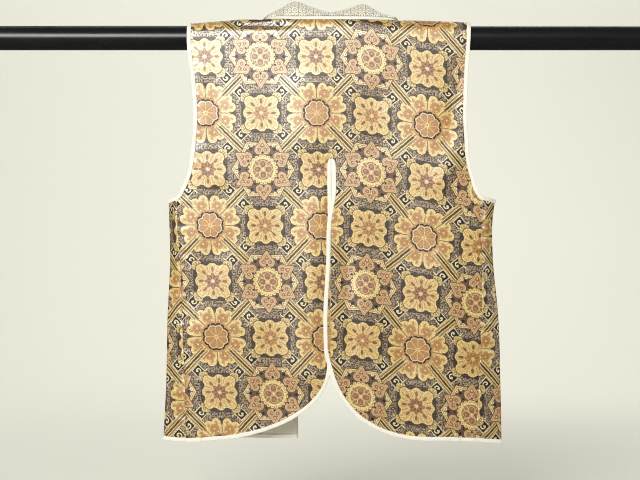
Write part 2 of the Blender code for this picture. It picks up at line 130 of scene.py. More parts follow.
# Finished edges of the vent's two halves, and how far each is lapped out of the plane
VENT = {
    "z": (-0.242, -0.320, -0.365, -0.450, -0.562, -0.610, -0.641),
    "left": (0.0025, 0.0025, 0.0035, 0.0040, 0.0030, 0.0025, 0.0020),
    "right": (0.0028, 0.0028, -0.0050, -0.0080, -0.0135, -0.0125, -0.0105),
    "lap": (0.0000, 0.0028, 0.0032, 0.0034, 0.0034, 0.0034, 0.0034),
}
LAP_FADE = 0.09

# Rounded corners where the vent meets the back's hem: width and height of each, and how far
# the edge swings out from the ellipse between two turns round the corner
CORNER = {"left": (0.240, 0.147), "right": (0.190, 0.172)}
CORNER_SWING = {"left": 0.0, "right": 0.0042}
SWING_IN = 0.20
SWING_OUT = 0.45
SWING_END = 0.95

# How much lower the hem hangs towards the sides, and at the fold of each gusset
HEM_SAG = {
    "x": (-0.300, -0.265, -0.235, -0.200, 0.150, 0.190, 0.240, 0.290, 0.310),
    "drop": (0.0037, 0.0037, 0.0008, 0.0000, 0.0000, 0.0010, 0.0018, 0.0037, 0.0040),
}
GUSSET_SAG = {"left": -0.0014, "right": 0.0062}
SAG_FROM = -0.600

# The gussets: how deep and for how many rows the top of the fold dips, how sharp the fold is,
# and how much lower their pattern starts
GUSSET_DIP = 0.006
GUSSET_DIP_ROWS = 12.0
GUSSET_PRESS = 1.45
GUSSET_DROP = {"left": 0.122, "right": 0.020}

# Front edges, as distances from the middle: the neck's slope, then down to the hem
FRONT_EDGE = {
    "z": (0.026, 0.000, -0.100, -0.200, -0.300, -0.370, -0.500, -0.650, -0.810),
    "left": (0.134, 0.131, 0.113, 0.092, 0.073, 0.0655, 0.0650, 0.0650, 0.0650),
    "right": (0.134, 0.131, 0.113, 0.093, 0.077, 0.0750, 0.0880, 0.1140, 0.1370),
}
CHEST = -0.345

# Soft vertical waves: length, depth at the hem and phase of each; then the fronts' deep folds
BACK_WAVES = ((0.235, 0.0030, 0.6), (0.131, 0.0014, 2.1))
FRONT_WAVES = {"left": ((0.150, 0.0040, 1.0), (0.083, 0.0014, 0.3)), "right": ()}
WAVE_REACH = 0.31
FOLDS = 2
FOLD_DEPTH = {"left": 0.0, "right": 0.040}

# The roll of piping round the neck: half its height, half its thickness, and the rings that
# close its tips, as a share of its section and how far they stand out
ROLL_HEIGHT = 0.0044
ROLL_THICK = 0.0020
ROLL_GAP = 0.0013
ROLL_SIDES = 18
ROLL_TIP = ((0.82, 0.0011), (0.42, 0.0018), (0.02, 0.0020))

# The collar behind the neck: how far its top edge rises and reaches forward
COLLAR_BACK = {
    "x": (-0.134, -0.120, -0.098, -0.072, -0.035, 0.006, 0.040, 0.066, 0.092, 0.112, 0.134),
    "rise": (-0.012, 0.002, 0.018, 0.030, 0.019, 0.008, 0.018, 0.025, 0.016, 0.002, -0.012),
    "reach": (0.034, 0.036, 0.034, 0.028, 0.033, 0.036, 0.034, 0.031, 0.034, 0.036, 0.034),
}
COLLAR_BEND = 0.090
COLLAR_TURN = 0.012
COLLAR_BULGE = 0.003
COLLAR_DEPTH = 0.04
COLLAR_CLEAR = COLLAR / 2 + 5 * GAP

# The lapels that the collar runs into on the fronts
LAPEL = {
    "z": (-0.345, -0.300, -0.240, -0.150, -0.050, 0.000),
    "width": (0.004, 0.016, 0.030, 0.040, 0.043, 0.043),
}
LAPEL_LIFT = 0.003

# The lining on the left front stops short of the front edge and of the bound hem
LINING_INSET = 0.00214
LINING_HEM = 0.0100
LINING_LIFT = 0.060

# Stations: turns over the rod, then heights down the cloth
ARCH_TURNS = np.linspace(0.0, PI / 2, 15)
VENT_STEPS = 63
SPLIT_STEPS = 20
HEM_STEPS = 127
HEIGHTS = np.concatenate((
    np.linspace(0.0, VENT_TOP, VENT_STEPS + 1)[1:],
    np.linspace(VENT_TOP - VENT_SPLIT, SEAM_TOP, SPLIT_STEPS),
    np.linspace(SEAM_TOP, BACK_HEM, HEM_STEPS + 1)[1:],
))
ARCH_ROWS = len(ARCH_TURNS)
VENT_ROW = ARCH_ROWS + VENT_STEPS - 1
SEAM_ROW = VENT_ROW + SPLIT_STEPS
NECK_STEPS = 44
SHOULDER_STEPS = 38
GUSSET_STEPS = 30
FRONT_STEPS = {"left": 58, "right": 104}
COLLAR_STEPS = 18

# The pattern's repeat across and down, and where its middle column and first row lie
REPEAT_ACROSS = 0.2214
REPEAT_DOWN = 0.2247
FIRST_ROW = 0.1524

# Where the middle column starts on each half of the back and how far it leans, how the
# columns and rows near the left side bend, and how the rows drop towards the right
LEAN_START = {"left": -0.0285, "right": -0.0280}
LEAN = {"left": 0.025, "right": -0.022}
LEAN_LENGTH = 0.714
RIGHT_LEAN = (0.20, 0.55)
MERGE = 0.06
SIDE_LEAN = 0.0062
SIDE_RISE = 0.0068
SIDE_REACH = 0.225
ROW_DROP = 0.17
DROP_FROM = 0.05

# Where the pattern lies on the fronts, across and down, and across the gussets
FRONT_PLACE = (0.066, 0.05)
GUSSET_PLACE = 0.028

# The creases of the back, listed one by one: two ends as distances across and down from the
# rod's middle, half width, and how far each stands out (ridge) or sinks in (trough)
BACK_CREASES = {
    "x0": (-0.200, -0.196, 0.168, 0.245, -0.268, 0.262, -0.262, 0.266, 0.030, 0.052,
           -0.020, -0.150, 0.120, 0.215, -0.215, -0.060, 0.085, -0.240),
    "d0": (-0.026, -0.038, -0.034, -0.040, 0.060, 0.050, 0.215, 0.205, 0.420, 0.500,
           0.300, 0.540, 0.600, 0.420, 0.400, 0.080, 0.100, 0.600),
    "x1": (-0.078, -0.082, 0.212, 0.266, -0.250, 0.235, -0.215, 0.214, 0.046, 0.150,
           -0.034, -0.040, 0.270, 0.275, -0.285, -0.044, 0.110, -0.120),
    "d1": (-0.023, -0.036, -0.030, -0.022, 0.200, 0.210, 0.300, 0.310, 0.620, 0.760,
           0.560, 0.700, 0.730, 0.560, 0.560, 0.230, 0.240, 0.780),
    "wide": (0.006, 0.007, 0.004, 0.005, 0.022, 0.020, 0.024, 0.024, 0.016, 0.034,
             0.030, 0.040, 0.034, 0.026, 0.026, 0.045, 0.040, 0.050),
    "stand": (-0.0040, 0.0026, -0.0026, -0.0024, 0.0022, -0.0020, 0.0022, 0.0024, -0.0026, 0.0030,
              0.0024, 0.0026, -0.0028, 0.0024, -0.0020, 0.0022, -0.0020, -0.0026),
}
FRONT_CREASES = {
    "x0": (0.240, 0.170, 0.120, 0.255, 0.205, 0.090, 0.150),
    "d0": (0.040, 0.080, 0.300, 0.230, 0.420, 0.560, 0.600),
    "x1": (0.150, 0.100, 0.200, 0.180, 0.250, 0.180, 0.230),
    "d1": (0.190, 0.260, 0.480, 0.330, 0.640, 0.740, 0.770),
    "wide": (0.024, 0.030, 0.034, 0.022, 0.030, 0.030, 0.026),
    "stand": (0.0028, -0.0026, 0.0028, -0.0024, 0.0028, -0.0024, 0.0026),
}
GUSSET_CREASES = {
    "x0": (-0.40, -0.10, 0.30),
    "d0": (0.360, 0.500, 0.640),
    "x1": (0.20, 0.40, -0.30),
    "d1": (0.470, 0.600, 0.760),
    "wide": (0.30, 0.26, 0.30),
    "stand": (0.0012, -0.0012, 0.0014),
}

# The fronts' creases: how far each set is moved across, and by how much it is scaled
FRONT_SOFT = {"left": (0.0, 1.0), "right": (0.012, -0.8)}

# Where the creases start below the crest, and over what length they grow
BACK_CALM = (-0.052, 0.012)
FRONT_CALM = (-0.040, 0.030)

# Gathers that the binding draws into the cloth beside it: height, spacing and reach
PUCKER = 0.0005
PUCKER_SPACING = 0.019
PUCKER_REACH = 0.012

# How far the cloth sinks in along each side seam, and how wide the sunk line is
SEAM_SINK = 0.0021
SEAM_WIDE = 0.0045

# Hand stitches along the bindings
STITCH_LENGTH = 0.0024
STITCH_THICK = 0.00042
STITCH_SPACING = 0.0052
STITCH_STRAY = 0.0004
STITCH_IN = 0.0058

SIDES = {"left": -1.0, "right": 1.0}

# Width of a soft edge in the pattern, which is drawn in millimetres, and how far it strays
SOFT = 0.7
MM = 1000.0
WOBBLE = 2.4
RING_SCALE = 0.300

# Direction of the pattern's diagonals, and the middle of the boxes along and off them
DIAGONAL = (0.7018, 0.7123)
BOX = (78.8, 19.6)

# Share and spread of red, green and blue in the threads' tint
TINTS = ((0.98, 0.3), (0.87, 0.3), (0.62, 0.7))

# Kinds of a group's sockets, and the first value and the result among a Mix node's sockets
SOCKET_KINDS = {"Place": "NodeSocketVector", "Colour": "NodeSocketColor"}
MIX_SOCKETS = {"FLOAT": (2, 0), "RGBA": (6, 2)}

# Soft lights: place, aim, width and height, power and colour
LIGHTS = (
    ("key", (-1.1, -3.05, 1.05), (-0.05, 0.0, -0.35), (1.9, 1.4), 104.0, (1.0, 0.985, 0.93)),
    ("fill", (2.4, -0.9, 0.6), (0.0, 0.0, -0.4), (1.0, 1.4), 18.0, (1.0, 1.0, 1.0)),
    ("side", (-2.4, -0.9, 0.4), (0.0, 0.0, -0.5), (1.0, 1.4), 13.0, (1.0, 1.0, 1.0)),
    ("backdrop", (0.0, 2.4, 3.2), (0.0, 4.6, 0.7), (6.0, 1.0), 124.0, (1.0, 1.0, 0.985)),
    ("rear", (1.0, 3.4, 2.2), (0.0, 0.0, -0.3), (2.4, 1.4), 22.0, (1.0, 1.0, 1.0)),
)
CAMERA_LENS = 96.2
CAMERA_PLACE = (-0.020, -HANG - 3.4, -0.4046)


def smooth(table, across, column, at):
    """Reads a table's column as a smooth curve through its rows, flat beyond its ends."""
    order = np.argsort(table[across])
    known = np.array(table[across])[order]
    value = np.array(table[column])[order]
    slope = np.gradient(value, known)
    at = np.clip(at, known[0], known[-1])
    left = np.clip(np.searchsorted(known, at) - 1, 0, len(known) - 2)
    span = known[left + 1] - known[left]
    f = (at - known[left]) / span
    rise = value[left] * (1 + 2 * f) * (1 - f) ** 2 + value[left + 1] * f * f * (3 - 2 * f)
    bend = slope[left] * f * (1 - f) ** 2 - slope[left + 1] * f * f * (1 - f)
    return rise + bend * span


def ease(f):
    """Runs from 0 to 1 with level ends: 3 f squared less 2 f cubed."""
    f = np.clip(f, 0.0, 1.0)
    return f * f * (3 - 2 * f)


def unit(vectors):
    """Scales each vector to length one."""
    return vectors / np.maximum(np.linalg.norm(vectors, axis=-1, keepdims=True), 1e-12)


def crest(x):
    """Height of the cloth's middle over the rod; it rises on where the neck is cut away."""
    inside = np.clip(1 - (x / NECK_HALF) ** 2, 0.0, 1.0)
    return smooth(SHOULDER, "x", "top", x) - BROCADE / 2 + NECK_RISE * inside


def stacked(*parts):
    """Spreads arrays over one another and stacks them: X, Y and Z, or a place on the cloth."""
    return np.stack(np.broadcast_arrays(*parts), axis=-1)


def run_along(grid, axis=0):
    """Distance along a path, or along each row of a grid, from 0 at its first point."""
    step = np.linalg.norm(np.diff(grid, axis=axis), axis=-1)
    return np.insert(np.cumsum(step, axis=axis), 0, 0.0, axis=axis)


def waves(x, table):
    """Adds up cosines across the cloth, one for each row of length, depth and phase."""
    return sum(depth * np.cos(2 * PI * x / length + phase) for length, depth, phase in table)


def ripples(run, table):
    """Adds up sines along an edge, one for each row of depth, spacing and phase."""
    return sum(depth * np.sin(run / spacing + phase) for depth, spacing, phase in table)


def arch(x, turn, side):
    """Over the rod: Y is side HANG sin(turn), and Z is the crest by cos(turn) to a power."""
    z = crest(x) * np.maximum(np.cos(turn), 0.0) ** ARCH_POWER
    return stacked(x, side * HANG * np.sin(turn), z)


def sag(z):
    """How far a height is into the part that sags: 0 down to SAG_FROM, then up to 1."""
    return np.clip((z - SAG_FROM) / (BACK_HEM - SAG_FROM), 0.0, 1.0) ** 2


def fall(x, z, side, table):
    """Below the rod: it hangs at HANG from the axis, draws in at the sides and waves."""
    down = np.clip(z / BACK_HEM, 0.0, 1.0)
    draw = SIDE_DRAW * down * np.clip(np.abs(x) / DRAW_REACH, 0.0, 1.2) ** 4
    quiet = np.clip(1 - (np.abs(x) / WAVE_REACH) ** 4, 0.0, 1.0)
    out = HANG - draw + waves(x, table) * down * quiet
    return stacked(x, side * out, z - smooth(HEM_SAG, "x", "drop", x) * sag(z))


def creases(table, x, down):
    """Adds up soft ridges and troughs, each a bell curve across the line between its ends.

    Its height is stand times exp(-(distance from the line / wide) squared), and it fades out
    over the line's last third at either end.
    """
    total = 0.0 * (x + down)
    for x0, d0, x1, d1, wide, stand in zip(*table.values()):
        along_x, along_d = x1 - x0, d1 - d0
        span = along_x ** 2 + along_d ** 2
        f = ((x - x0) * along_x + (down - d0) * along_d) / span
        off = ((x - x0) * along_d - (down - d0) * along_x) / np.sqrt(span)
        fade = ease((f + 0.15) / 0.35) * ease((1.15 - f) / 0.35)
        total = total + stand * fade * np.exp(-((off + wide * 0.5 * f * (1 - f)) / wide) ** 2)
    return total


def gathers(along_edge, from_edge):
    """Small waves beside a bound edge: two sines along it, dying away from it."""
    wave = np.sin(2 * PI * along_edge / PUCKER_SPACING) + np.sin(4.4 * along_edge / PUCKER_SPACING)
    return PUCKER * wave * np.exp(-np.maximum(from_edge, 0.0) / PUCKER_REACH)


def armhole_edge(side, z):
    """Distance of an armhole's cut edge from the middle; the tape stands past it."""
    return smooth(ARMHOLE, "z", side, z) - TAPE_PAST


def side_edge(side, z):
    """Distance of the cloth's outer edge: along the armhole, then along the side seam."""
    seam = smooth(SIDE, "z", side + "_seam", z) - GAP / 2
    return np.where(z > SEAM_TOP + 1e-6, armhole_edge(side, z), seam)


def vent_share(z):
    """How far a height is down the vent: 0 at its top and 1 at the hem."""
    return np.clip((z - VENT_TOP) / (BACK_HEM - VENT_TOP), 0.0, 1.0)


def down_cloth(grid):
    """Distance down the cloth at each point: the path down each column, 0 at the rod's level."""
    over = run_along(grid[:ARCH_ROWS])
    return np.concatenate((over - over[-1], -grid[ARCH_ROWS:, :, 2]))


class Cloth:
    """A cloth's middle surface as a grid of points, with the place of its pattern in metres."""

    def __init__(self, points, pattern, way=1.0):
        self.points = points
        self.pattern = pattern
        self.way = way
        self.normals = self.point_normals()

    def point_normals(self):
        """Cross product of the grid's two directions at each point, turned to the outside."""
        across = np.gradient(self.points, axis=1)
        down = np.gradient(self.points, axis=0)
        return unit(np.cross(down, across)) * self.way

    def raise_by(self, height):
        """Moves each point along its normal by a height, then works the normals out again."""
        self.points = self.points + self.normals * height[..., None]
        self.normals = self.point_normals()
        return self


def back_pattern(x, down):
    """Place of the back's pattern: its columns lean, and its rows drop towards the right."""
    low = np.clip(down / LEAN_LENGTH, 0.0, 1.2)
    left = LEAN_START["left"] + LEAN["left"] * low ** 1.5
    right = LEAN_START["right"] + LEAN["right"] * ease((down - RIGHT_LEAN[0]) / RIGHT_LEAN[1])
    share = np.where(down < -VENT_TOP, ease((x + MERGE) / (2 * MERGE)), x > 0)
    far = np.clip(-x / SIDE_REACH, 0.0, 1.3)
    middle = left + (right - left) * share + SIDE_LEAN * far ** 1.5 * low ** 2
    drop = ROW_DROP * np.maximum(x - DROP_FROM, 0.0) - SIDE_RISE * far * low ** 2
    return stacked(x - middle, down - FIRST_ROW - drop)


def back_over(side, neck, spread):
    """Half the back over the rod, from the neckline, with its rounded corner, downwards."""
    turns = ARCH_TURNS[:, None]
    edge = SIDES[side] * armhole_edge(side, RIM_LEVEL * np.cos(turns))
    x = np.concatenate((neck + 0 * turns, neck[-1] + (edge - neck[-1]) * spread), axis=1)
    reach = np.clip(NECK_Z / crest(x), 0.0, 1.0) ** (1 / ARCH_POWER)
    inside = 1 - np.clip((NECK_HALF - np.abs(x)) / NECK_CORNER, 0.0, 1.0)
    first = np.arccos(reach) * np.sqrt(1 - inside ** 2)
    over = arch(x, first + (PI / 2 - first) * turns / (PI / 2), -1)
    over[0, NECK_STEPS:, 1] -= GAP / 2
    return over


def back_below(side, neck, turn, spread):
    """Half the back below the rod; its first column is the vent's edge, lapped out of the plane.

    Below the vent's top the inner columns run to the corner, a quarter of an ellipse.
    """
    way = SIDES[side]
    column = np.arange(NECK_STEPS + 1)
    width, height = CORNER[side]
    swing = CORNER_SWING[side] * ease(turn / SWING_IN) * ease((SWING_END - turn) / SWING_OUT)
    corner_x = VENT[side][-1] + way * (TAPE_PAST + width * (1 - np.cos(turn)) + swing)
    corner_z = BACK_HEM + height * (1 - np.sin(turn))
    z = HEIGHTS[:, None]
    below = z < VENT_TOP - 1e-6
    v = vent_share(z)
    inner_z = np.where(below, VENT_TOP + (corner_z - VENT_TOP) * v, z)
    inner_x = neck + (corner_x - neck) * ease(v)
    vent = smooth(VENT, "z", side, inner_z[:, :1]) + way * TAPE_PAST
    room = vent * way + VENT_ROOM * column * (1 - v ** 6)
    beside = below & (column < VENT_COLUMNS)
    inner_x = np.where(beside, way * np.maximum(inner_x * way, room), inner_x)
    inner_x[:, :1] = np.where(below, vent, inner_x[:, :1])
    edge = way * side_edge(side, z)
    outer_x = inner_x[:, -1:] + (edge - inner_x[:, -1:]) * spread
    x = np.concatenate((inner_x, outer_x), axis=1)
    z = np.concatenate((inner_z, z + 0 * spread), axis=1)
    hang = fall(x, z, -1, BACK_WAVES)
    lap = smooth(VENT, "z", "lap", z) * np.exp(-((x - x[:, :1]) / LAP_FADE) ** 2)
    hang[..., 1] -= way * lap * below
    return hang


def back_half(side):
    """Half the back on a grid: from the middle or the vent outwards, and from the top down."""
    way = SIDES[side]
    middle = (VENT["left"][0] + VENT["right"][0]) / 2
    turn = np.linspace(0.0, PI / 2, NECK_STEPS + 1)
    neck = np.where(turn > 0, way * NECK_HALF * np.sin(turn), middle)
    spread = np.linspace(0.0, 1.0, SHOULDER_STEPS + 1)[1:]
    grid = np.concatenate((back_over(side, neck, spread), back_below(side, neck, turn, spread)))
    x, _, z = np.moveaxis(grid, -1, 0)
    down = down_cloth(grid)
    split = down > -VENT_TOP
    from_side = np.abs(x[:, -1:] - x)
    soft = creases(BACK_CREASES, x, down) + gathers(down, from_side) + gathers(x, z - z[-1:])
    soft = soft + gathers(down, np.where(split, np.abs(x - x[:, :1]), 1.0))
    soft = soft - SEAM_SINK * np.exp(-(from_side / SEAM_WIDE) ** 2) * (down > -SEAM_TOP)
    calm = ease((down - BACK_CALM[0]) / BACK_CALM[1])
    calm = calm * ease(np.abs(x) / BACK_CALM[1] + (down < -VENT_TOP))
    return Cloth(grid, back_pattern(x, down), way).raise_by(soft * calm)


def join_middle(left, right):
    """Gives the back's halves the same points and normals down to the top of the vent."""
    rows = slice(0, VENT_ROW + 1)
    for values in ("points", "normals"):
        a, b = getattr(left, values), getattr(right, values)
        mean = (a[rows, 0] + b[rows, 0]) / 2
        a[rows, 0] = mean
        b[rows, 0] = mean


def make_front(side):
    """One front on a grid: from the side inwards, and from the shoulder down to the hem.

    It lies in deep folds: Y grows by depth (1 - cos(2 pi folds f)) / 2; the left has none.
    """
    way = SIDES[side]
    f = np.linspace(0.0, 1.0, FRONT_STEPS[side] + 1)

    def x_at(level):
        edge = side_edge(side, level)
        return way * (edge + (smooth(FRONT_EDGE, "z", side, level) - edge) * f)

    turns, z = ARCH_TURNS[:, None], HEIGHTS[:, None]
    open_part = ease(vent_share(z))
    over = arch(x_at(RIM_LEVEL * np.cos(turns)), turns, 1)
    hang = fall(x_at(z), z + (FRONT_HEM[side] - BACK_HEM) * f * open_part, 1, FRONT_WAVES[side])
    hang[..., 1] += FOLD_DEPTH[side] * open_part * (1 - np.cos(2 * PI * FOLDS * f)) / 2
    grid = np.concatenate((over, hang))
    grid[0, :, 1] += GAP / 2
    x, z = grid[..., 0], grid[..., 2]
    down, across = down_cloth(grid), run_along(grid, axis=1)
    pattern = stacked(-way * (across - FRONT_PLACE[0]), down - FIRST_ROW + FRONT_PLACE[1])
    shift, share = FRONT_SOFT[side]
    soft = creases(FRONT_CREASES, np.abs(x) + shift, down) * share + gathers(down, across)
    soft = soft + gathers(down, across[:, -1:] - across) + gathers(x, z - z[-1:])
    calm = ease((down - FRONT_CALM[0]) / FRONT_CALM[1])
    return Cloth(grid, pattern, way).raise_by(soft * calm)


def make_gusset(side, back, front):
    """A side strip on a grid, pressed into one fold between the back's seam and the front's.

    Each row is half an oval: X goes as cos(angle) and Y as sin(angle), both to a power.
    """
    way = SIDES[side]
    angle = np.linspace(-PI / 2, PI / 2, GUSSET_STEPS + 1)
    away = np.array((way * GAP, 0.0, 0.0))
    start = back.points[SEAM_ROW:, -1] + away
    end = front.points[SEAM_ROW:, 0] + away
    f = (1 + np.sign(angle) * np.abs(np.sin(angle)) ** GUSSET_PRESS) / 2
    out = np.cos(angle) ** GUSSET_PRESS
    grid = start[:, None] + (end - start)[:, None] * f[None, :, None]
    fold = smooth(SIDE, "z", side + "_fold", start[:, 2]) - BROCADE / 2
    grid[..., 0] += way * (fold - np.abs(start[:, 0]))[:, None] * out
    dip = GUSSET_DIP * np.maximum(1 - np.arange(len(grid)) / GUSSET_DIP_ROWS, 0.0) ** 2
    grid[..., 2] -= (dip + GUSSET_SAG[side] * sag(start[:, 2]))[:, None] * out
    down = -grid[..., 2]
    across = run_along(grid, axis=1) + GUSSET_PLACE
    pattern = stacked(way * across, down - FIRST_ROW - GUSSET_DROP[side])
    soft = creases(GUSSET_CREASES, np.sin(angle)[None, :] + 0 * down, down)
    return Cloth(grid, pattern, way).raise_by(soft * np.cos(angle) ** 2)


def share_normals(first, second):
    """Gives both sides of a seam the same normals, so that their cut edges face each other."""
    mean = unit(first + second)
    first[:] = mean
    second[:] = mean


def add_item(name, points, faces, materials):
    """Puts points and faces into a smooth mesh with its materials, and that into the scene."""
    mesh = bpy.data.meshes.new(name)
    mesh.from_pydata(points.reshape(-1, 3).tolist(), [], faces)
    for material in materials:
        mesh.materials.append(material)
    mesh.polygons.foreach_set("use_smooth", np.ones(len(faces), dtype=bool))
    mesh.update()
    item = bpy.data.objects.new(name, mesh)
    bpy.context.scene.collection.objects.link(item)
    return item


def make_mesh(name, points, faces, place, materials, kinds=None):
    """A closed body with the pattern's place at each of its points.

    The faces are turned over if the volume that they enclose comes out negative.
    """
    points = points.reshape(-1, 3)
    corner = points[faces]
    volume = sum(np.einsum("ij,ij->i", corner[:, 0], np.cross(corner[:, b], corner[:, b + 1])).sum()
                 for b in (1, 2))
    if volume < 0:
        faces = faces[:, ::-1]
    item = add_item(name, points, faces.tolist(), materials)
    if kinds is not None:
        item.data.polygons.foreach_set("material_index", kinds.astype(np.int32))
    layer = item.data.uv_layers.new(name="cloth")
    layer.data.foreach_set("uv", place.reshape(-1, 2)[faces.ravel()].astype(np.float32).ravel())
    item.data.update()
    return item


def grid_faces(rows, columns, closed_rows=False, closed_columns=False):
    """Joins neighbouring points of a numbered grid into quads, round the ends if closed."""
    index = np.arange(rows * columns).reshape(rows, columns)
    if closed_rows:
        index = np.concatenate((index, index[:1]))
    if closed_columns:
        index = np.concatenate((index, index[:, :1]), axis=1)
    a, b, c, d = index[:-1, :-1], index[:-1, 1:], index[1:, 1:], index[1:, :-1]
    return np.stack((a, b, c, d), axis=-1).reshape(-1, 4)


def shell(name, cloths, thickness, outside, inside):
    """A cloth with its thickness: a face on each side, and a rounded rim at free edges.

    Each face lies half the thickness from the middle surface, along its normals. The rim runs
    over a line that stands out from the edge by the cross product of edge and normal. Two
    cloths are joined down their first columns as far as the vent's top.
    """
    quads, starts, first = [], [], 0
    for cloth in cloths:
        rows, columns = cloth.points.shape[:2]
        quads.append(grid_faces(rows, columns)[:, ::int(-cloth.way)] + first)
        starts.append(first + np.arange(VENT_ROW + 1) * columns)
        first += rows * columns
    points, normals, place = (
        np.concatenate([part.reshape(-1, part.shape[-1]) for part in parts])
        for parts in zip(*((cloth.points, cloth.normals, cloth.pattern) for cloth in cloths)))
    same = np.arange(first)
    if len(cloths) == 2:
        same[starts[1]] = starts[0]
    faces = same[np.concatenate(quads)]
    a, b = faces.ravel(), np.roll(faces, -1, axis=1).ravel()
    _, back_to, count = np.unique(np.minimum(a, b) * first + np.maximum(a, b),
                                  return_inverse=True, return_counts=True)
    free = count[back_to] == 1
    a, b = a[free], b[free]
    outward = np.zeros_like(points)
    lean = np.cross(points[b] - points[a], (normals[a] + normals[b]) / 2)
    np.add.at(outward, a, lean)
    np.add.at(outward, b, lean)
    half = normals * thickness / 2
    rim = points + unit(outward) * thickness * RIM_SHARE
    near = stacked(b, a, a + 2 * first, b + 2 * first)
    far = stacked(b + 2 * first, a + 2 * first, a + first, b + first)
    all_faces = np.concatenate((faces, faces[:, ::-1] + first, near, far))
    kinds = np.zeros(len(all_faces))
    kinds[len(faces):2 * len(faces)] = 1
    used, renumbered = np.unique(all_faces, return_inverse=True)
    all_points = np.concatenate((points + half, points - half, rim))[used]
    return make_mesh(name, all_points, renumbered.reshape(-1, 4), np.tile(place, (3, 1))[used],
                     (outside, inside), kinds)


def along(path, closed):
    """Direction of a path at each of its points: from the point before to the one after."""
    if closed:
        return unit(np.roll(path, -1, axis=0) - np.roll(path, 1, axis=0))
    step = unit(np.diff(path, axis=0))
    return unit(np.concatenate((step[:1], step[:-1] + step[1:], step[-1:])))


def calm_normals(normals, closed, times=6):
    """Averages each normal with its neighbours along an edge, a few times over."""
    for _ in range(times):
        before, after = np.roll(normals, 1, axis=0), np.roll(normals, -1, axis=0)
        if not closed:
            before[0], after[-1] = normals[0], normals[-1]
        normals = unit(before + 2 * normals + after)
    return normals


def edge_frame(path, normals, closed=False):
    """At each point of a cloth's edge: the way out of the cloth, and its face's normal."""
    normals = calm_normals(normals, closed)
    return unit(np.cross(along(path, closed), normals)), normals


def tape_section():
    """Section of the folded tape, as reach past the edge and stand off the face: two lines.

    The outer one goes up one leg, round the fold as half a circle and down the other leg. The
    inner one follows it at the tape's thickness, point for point.
    """
    turns = np.linspace(PI / 2, -PI / 2, 9)
    inner = TAPE_OUT - TAPE
    lines = []
    for stand, middle, half, bulge in (
            (TAPE_OUT, TAPE_PAST - TAPE, TAPE, np.array(LEG_BULGE)),
            (inner, GAP / 2, GAP / 2, np.zeros(4))):
        leg = stacked(LEG_REACH, stand + bulge)
        fold = stacked(middle + half * np.cos(turns), stand * np.sin(turns))
        lines.append(np.concatenate((leg, fold, leg[::-1] * (1, -1))))
    return lines


def make_tape(name, path, normals, closed, material, rounded=None):
    """Binds an edge: the folded section carried along it, swelling a little as it goes.

    At a rounded end (0 the first, -1 the last) the legs shorten as a quarter of a circle.
    """
    out, face = edge_frame(path, normals, closed)
    outer, inner = tape_section()
    reach = run_along(path)
    cover = 1 + ripples(reach, TAPE_SWAY)
    if rounded is not None:
        t = np.clip(np.abs(reach - reach[rounded]) / ROUND_REACH, 0.0, 1.0)
        cover = cover * (ROUND_LEFT + (1 - ROUND_LEFT) * np.sqrt(1 - (1 - t) ** 2))
    section = np.concatenate((outer, inner[::-1]))
    grow = np.arange(len(section)) < len(outer)
    side = section[:, 0] * np.where(section[:, 0] < 0, cover[:, None], 1.0)
    stand = section[:, 1] * (1 + ripples(reach, TAPE_SWELL)[:, None] * grow)
    rings = path[:, None] + out[:, None] * side[..., None] + face[:, None] * stand[..., None]
    count, points = rings.shape[:2]
    faces = grid_faces(count, points, closed_rows=closed, closed_columns=True)
    if not closed:
        i = np.arange(len(outer) - 1)
        cap = stacked(i, i + 1, points - 2 - i, points - 1 - i)
        faces = np.concatenate((faces, cap[:, ::-1], cap + (count - 1) * points))
    return make_mesh(name, rings, faces, stacked(run_along(section), reach[:, None]), (material,))


def make_stitches(name, path, normals, closed, material):
    """Short rounded stitches beside an edge, on both faces, evenly spaced along it.

    Each is an ellipsoid of three rings of six points and two poles, stretched along the edge.
    """
    out, face = edge_frame(path, normals, closed)
    reach = run_along(path)
    spots = np.arange(2 * STITCH_SPACING, reach[-1] - 2 * STITCH_SPACING, STITCH_SPACING)
    spots = spots + STITCH_STRAY * np.sin(spots * 900.0)
    line, out, face, middle = (
        stacked(*(np.interp(spots, reach, part) for part in values.T))
        for values in (along(path, closed), out, face, path))
    line, out, face = unit(line), unit(out), unit(face)
    middle = np.concatenate([middle - out * STITCH_IN + face * TAPE_OUT * s for s in (1.0, -1.0)])
    line, out, face = (np.concatenate((part, part))[:, None] for part in (line, out, face))
    lift, turn = np.radians((-48.0, 0.0, 48.0))[:, None], np.arange(6) * PI / 3
    ring = stacked(np.sin(lift), np.cos(lift) * np.cos(turn), np.cos(lift) * np.sin(turn))
    form = np.concatenate((((-1.0, 0.0, 0.0),), ring.reshape(-1, 3), ((1.0, 0.0, 0.0),)))
    form = form * (STITCH_LENGTH / 2, STITCH_THICK, STITCH_THICK)
    points = middle[:, None] + line * form[:, :1] + out * form[:, 1:2] + face * form[:, 2:]
    k = np.arange(6)
    after = (k + 1) % 6
    belt = stacked(k, after, after + 6, k + 6) + 1
    quads = np.concatenate((belt, belt + 6))
    ends = np.concatenate((stacked(0, 1 + after, 1 + k), stacked(13 + k, 13 + after, 19)))
    first = np.arange(len(middle))[:, None, None] * len(form)
    faces = (quads + first).reshape(-1, 4).tolist() + (ends + first).reshape(-1, 3).tolist()
    return add_item(name, points, faces, (material,))


def joined_edge(pieces):
    """Chains the edges of several cloths; where two meet, they share one middle point."""
    path, normals = [], []
    for points, faces in pieces:
        if path:
            path[-1][-1] = (path[-1][-1] + points[0]) / 2
            normals[-1][-1] = unit(normals[-1][-1] + faces[0])
            points, faces = points[1:], faces[1:]
        path.append(points.copy())
        normals.append(faces.copy())
    return np.concatenate(path), np.concatenate(normals)


def edge_of(cloth, rows, columns):
    """Points and normals of one edge of a cloth's grid."""
    return cloth.points[rows, columns], cloth.normals[rows, columns]


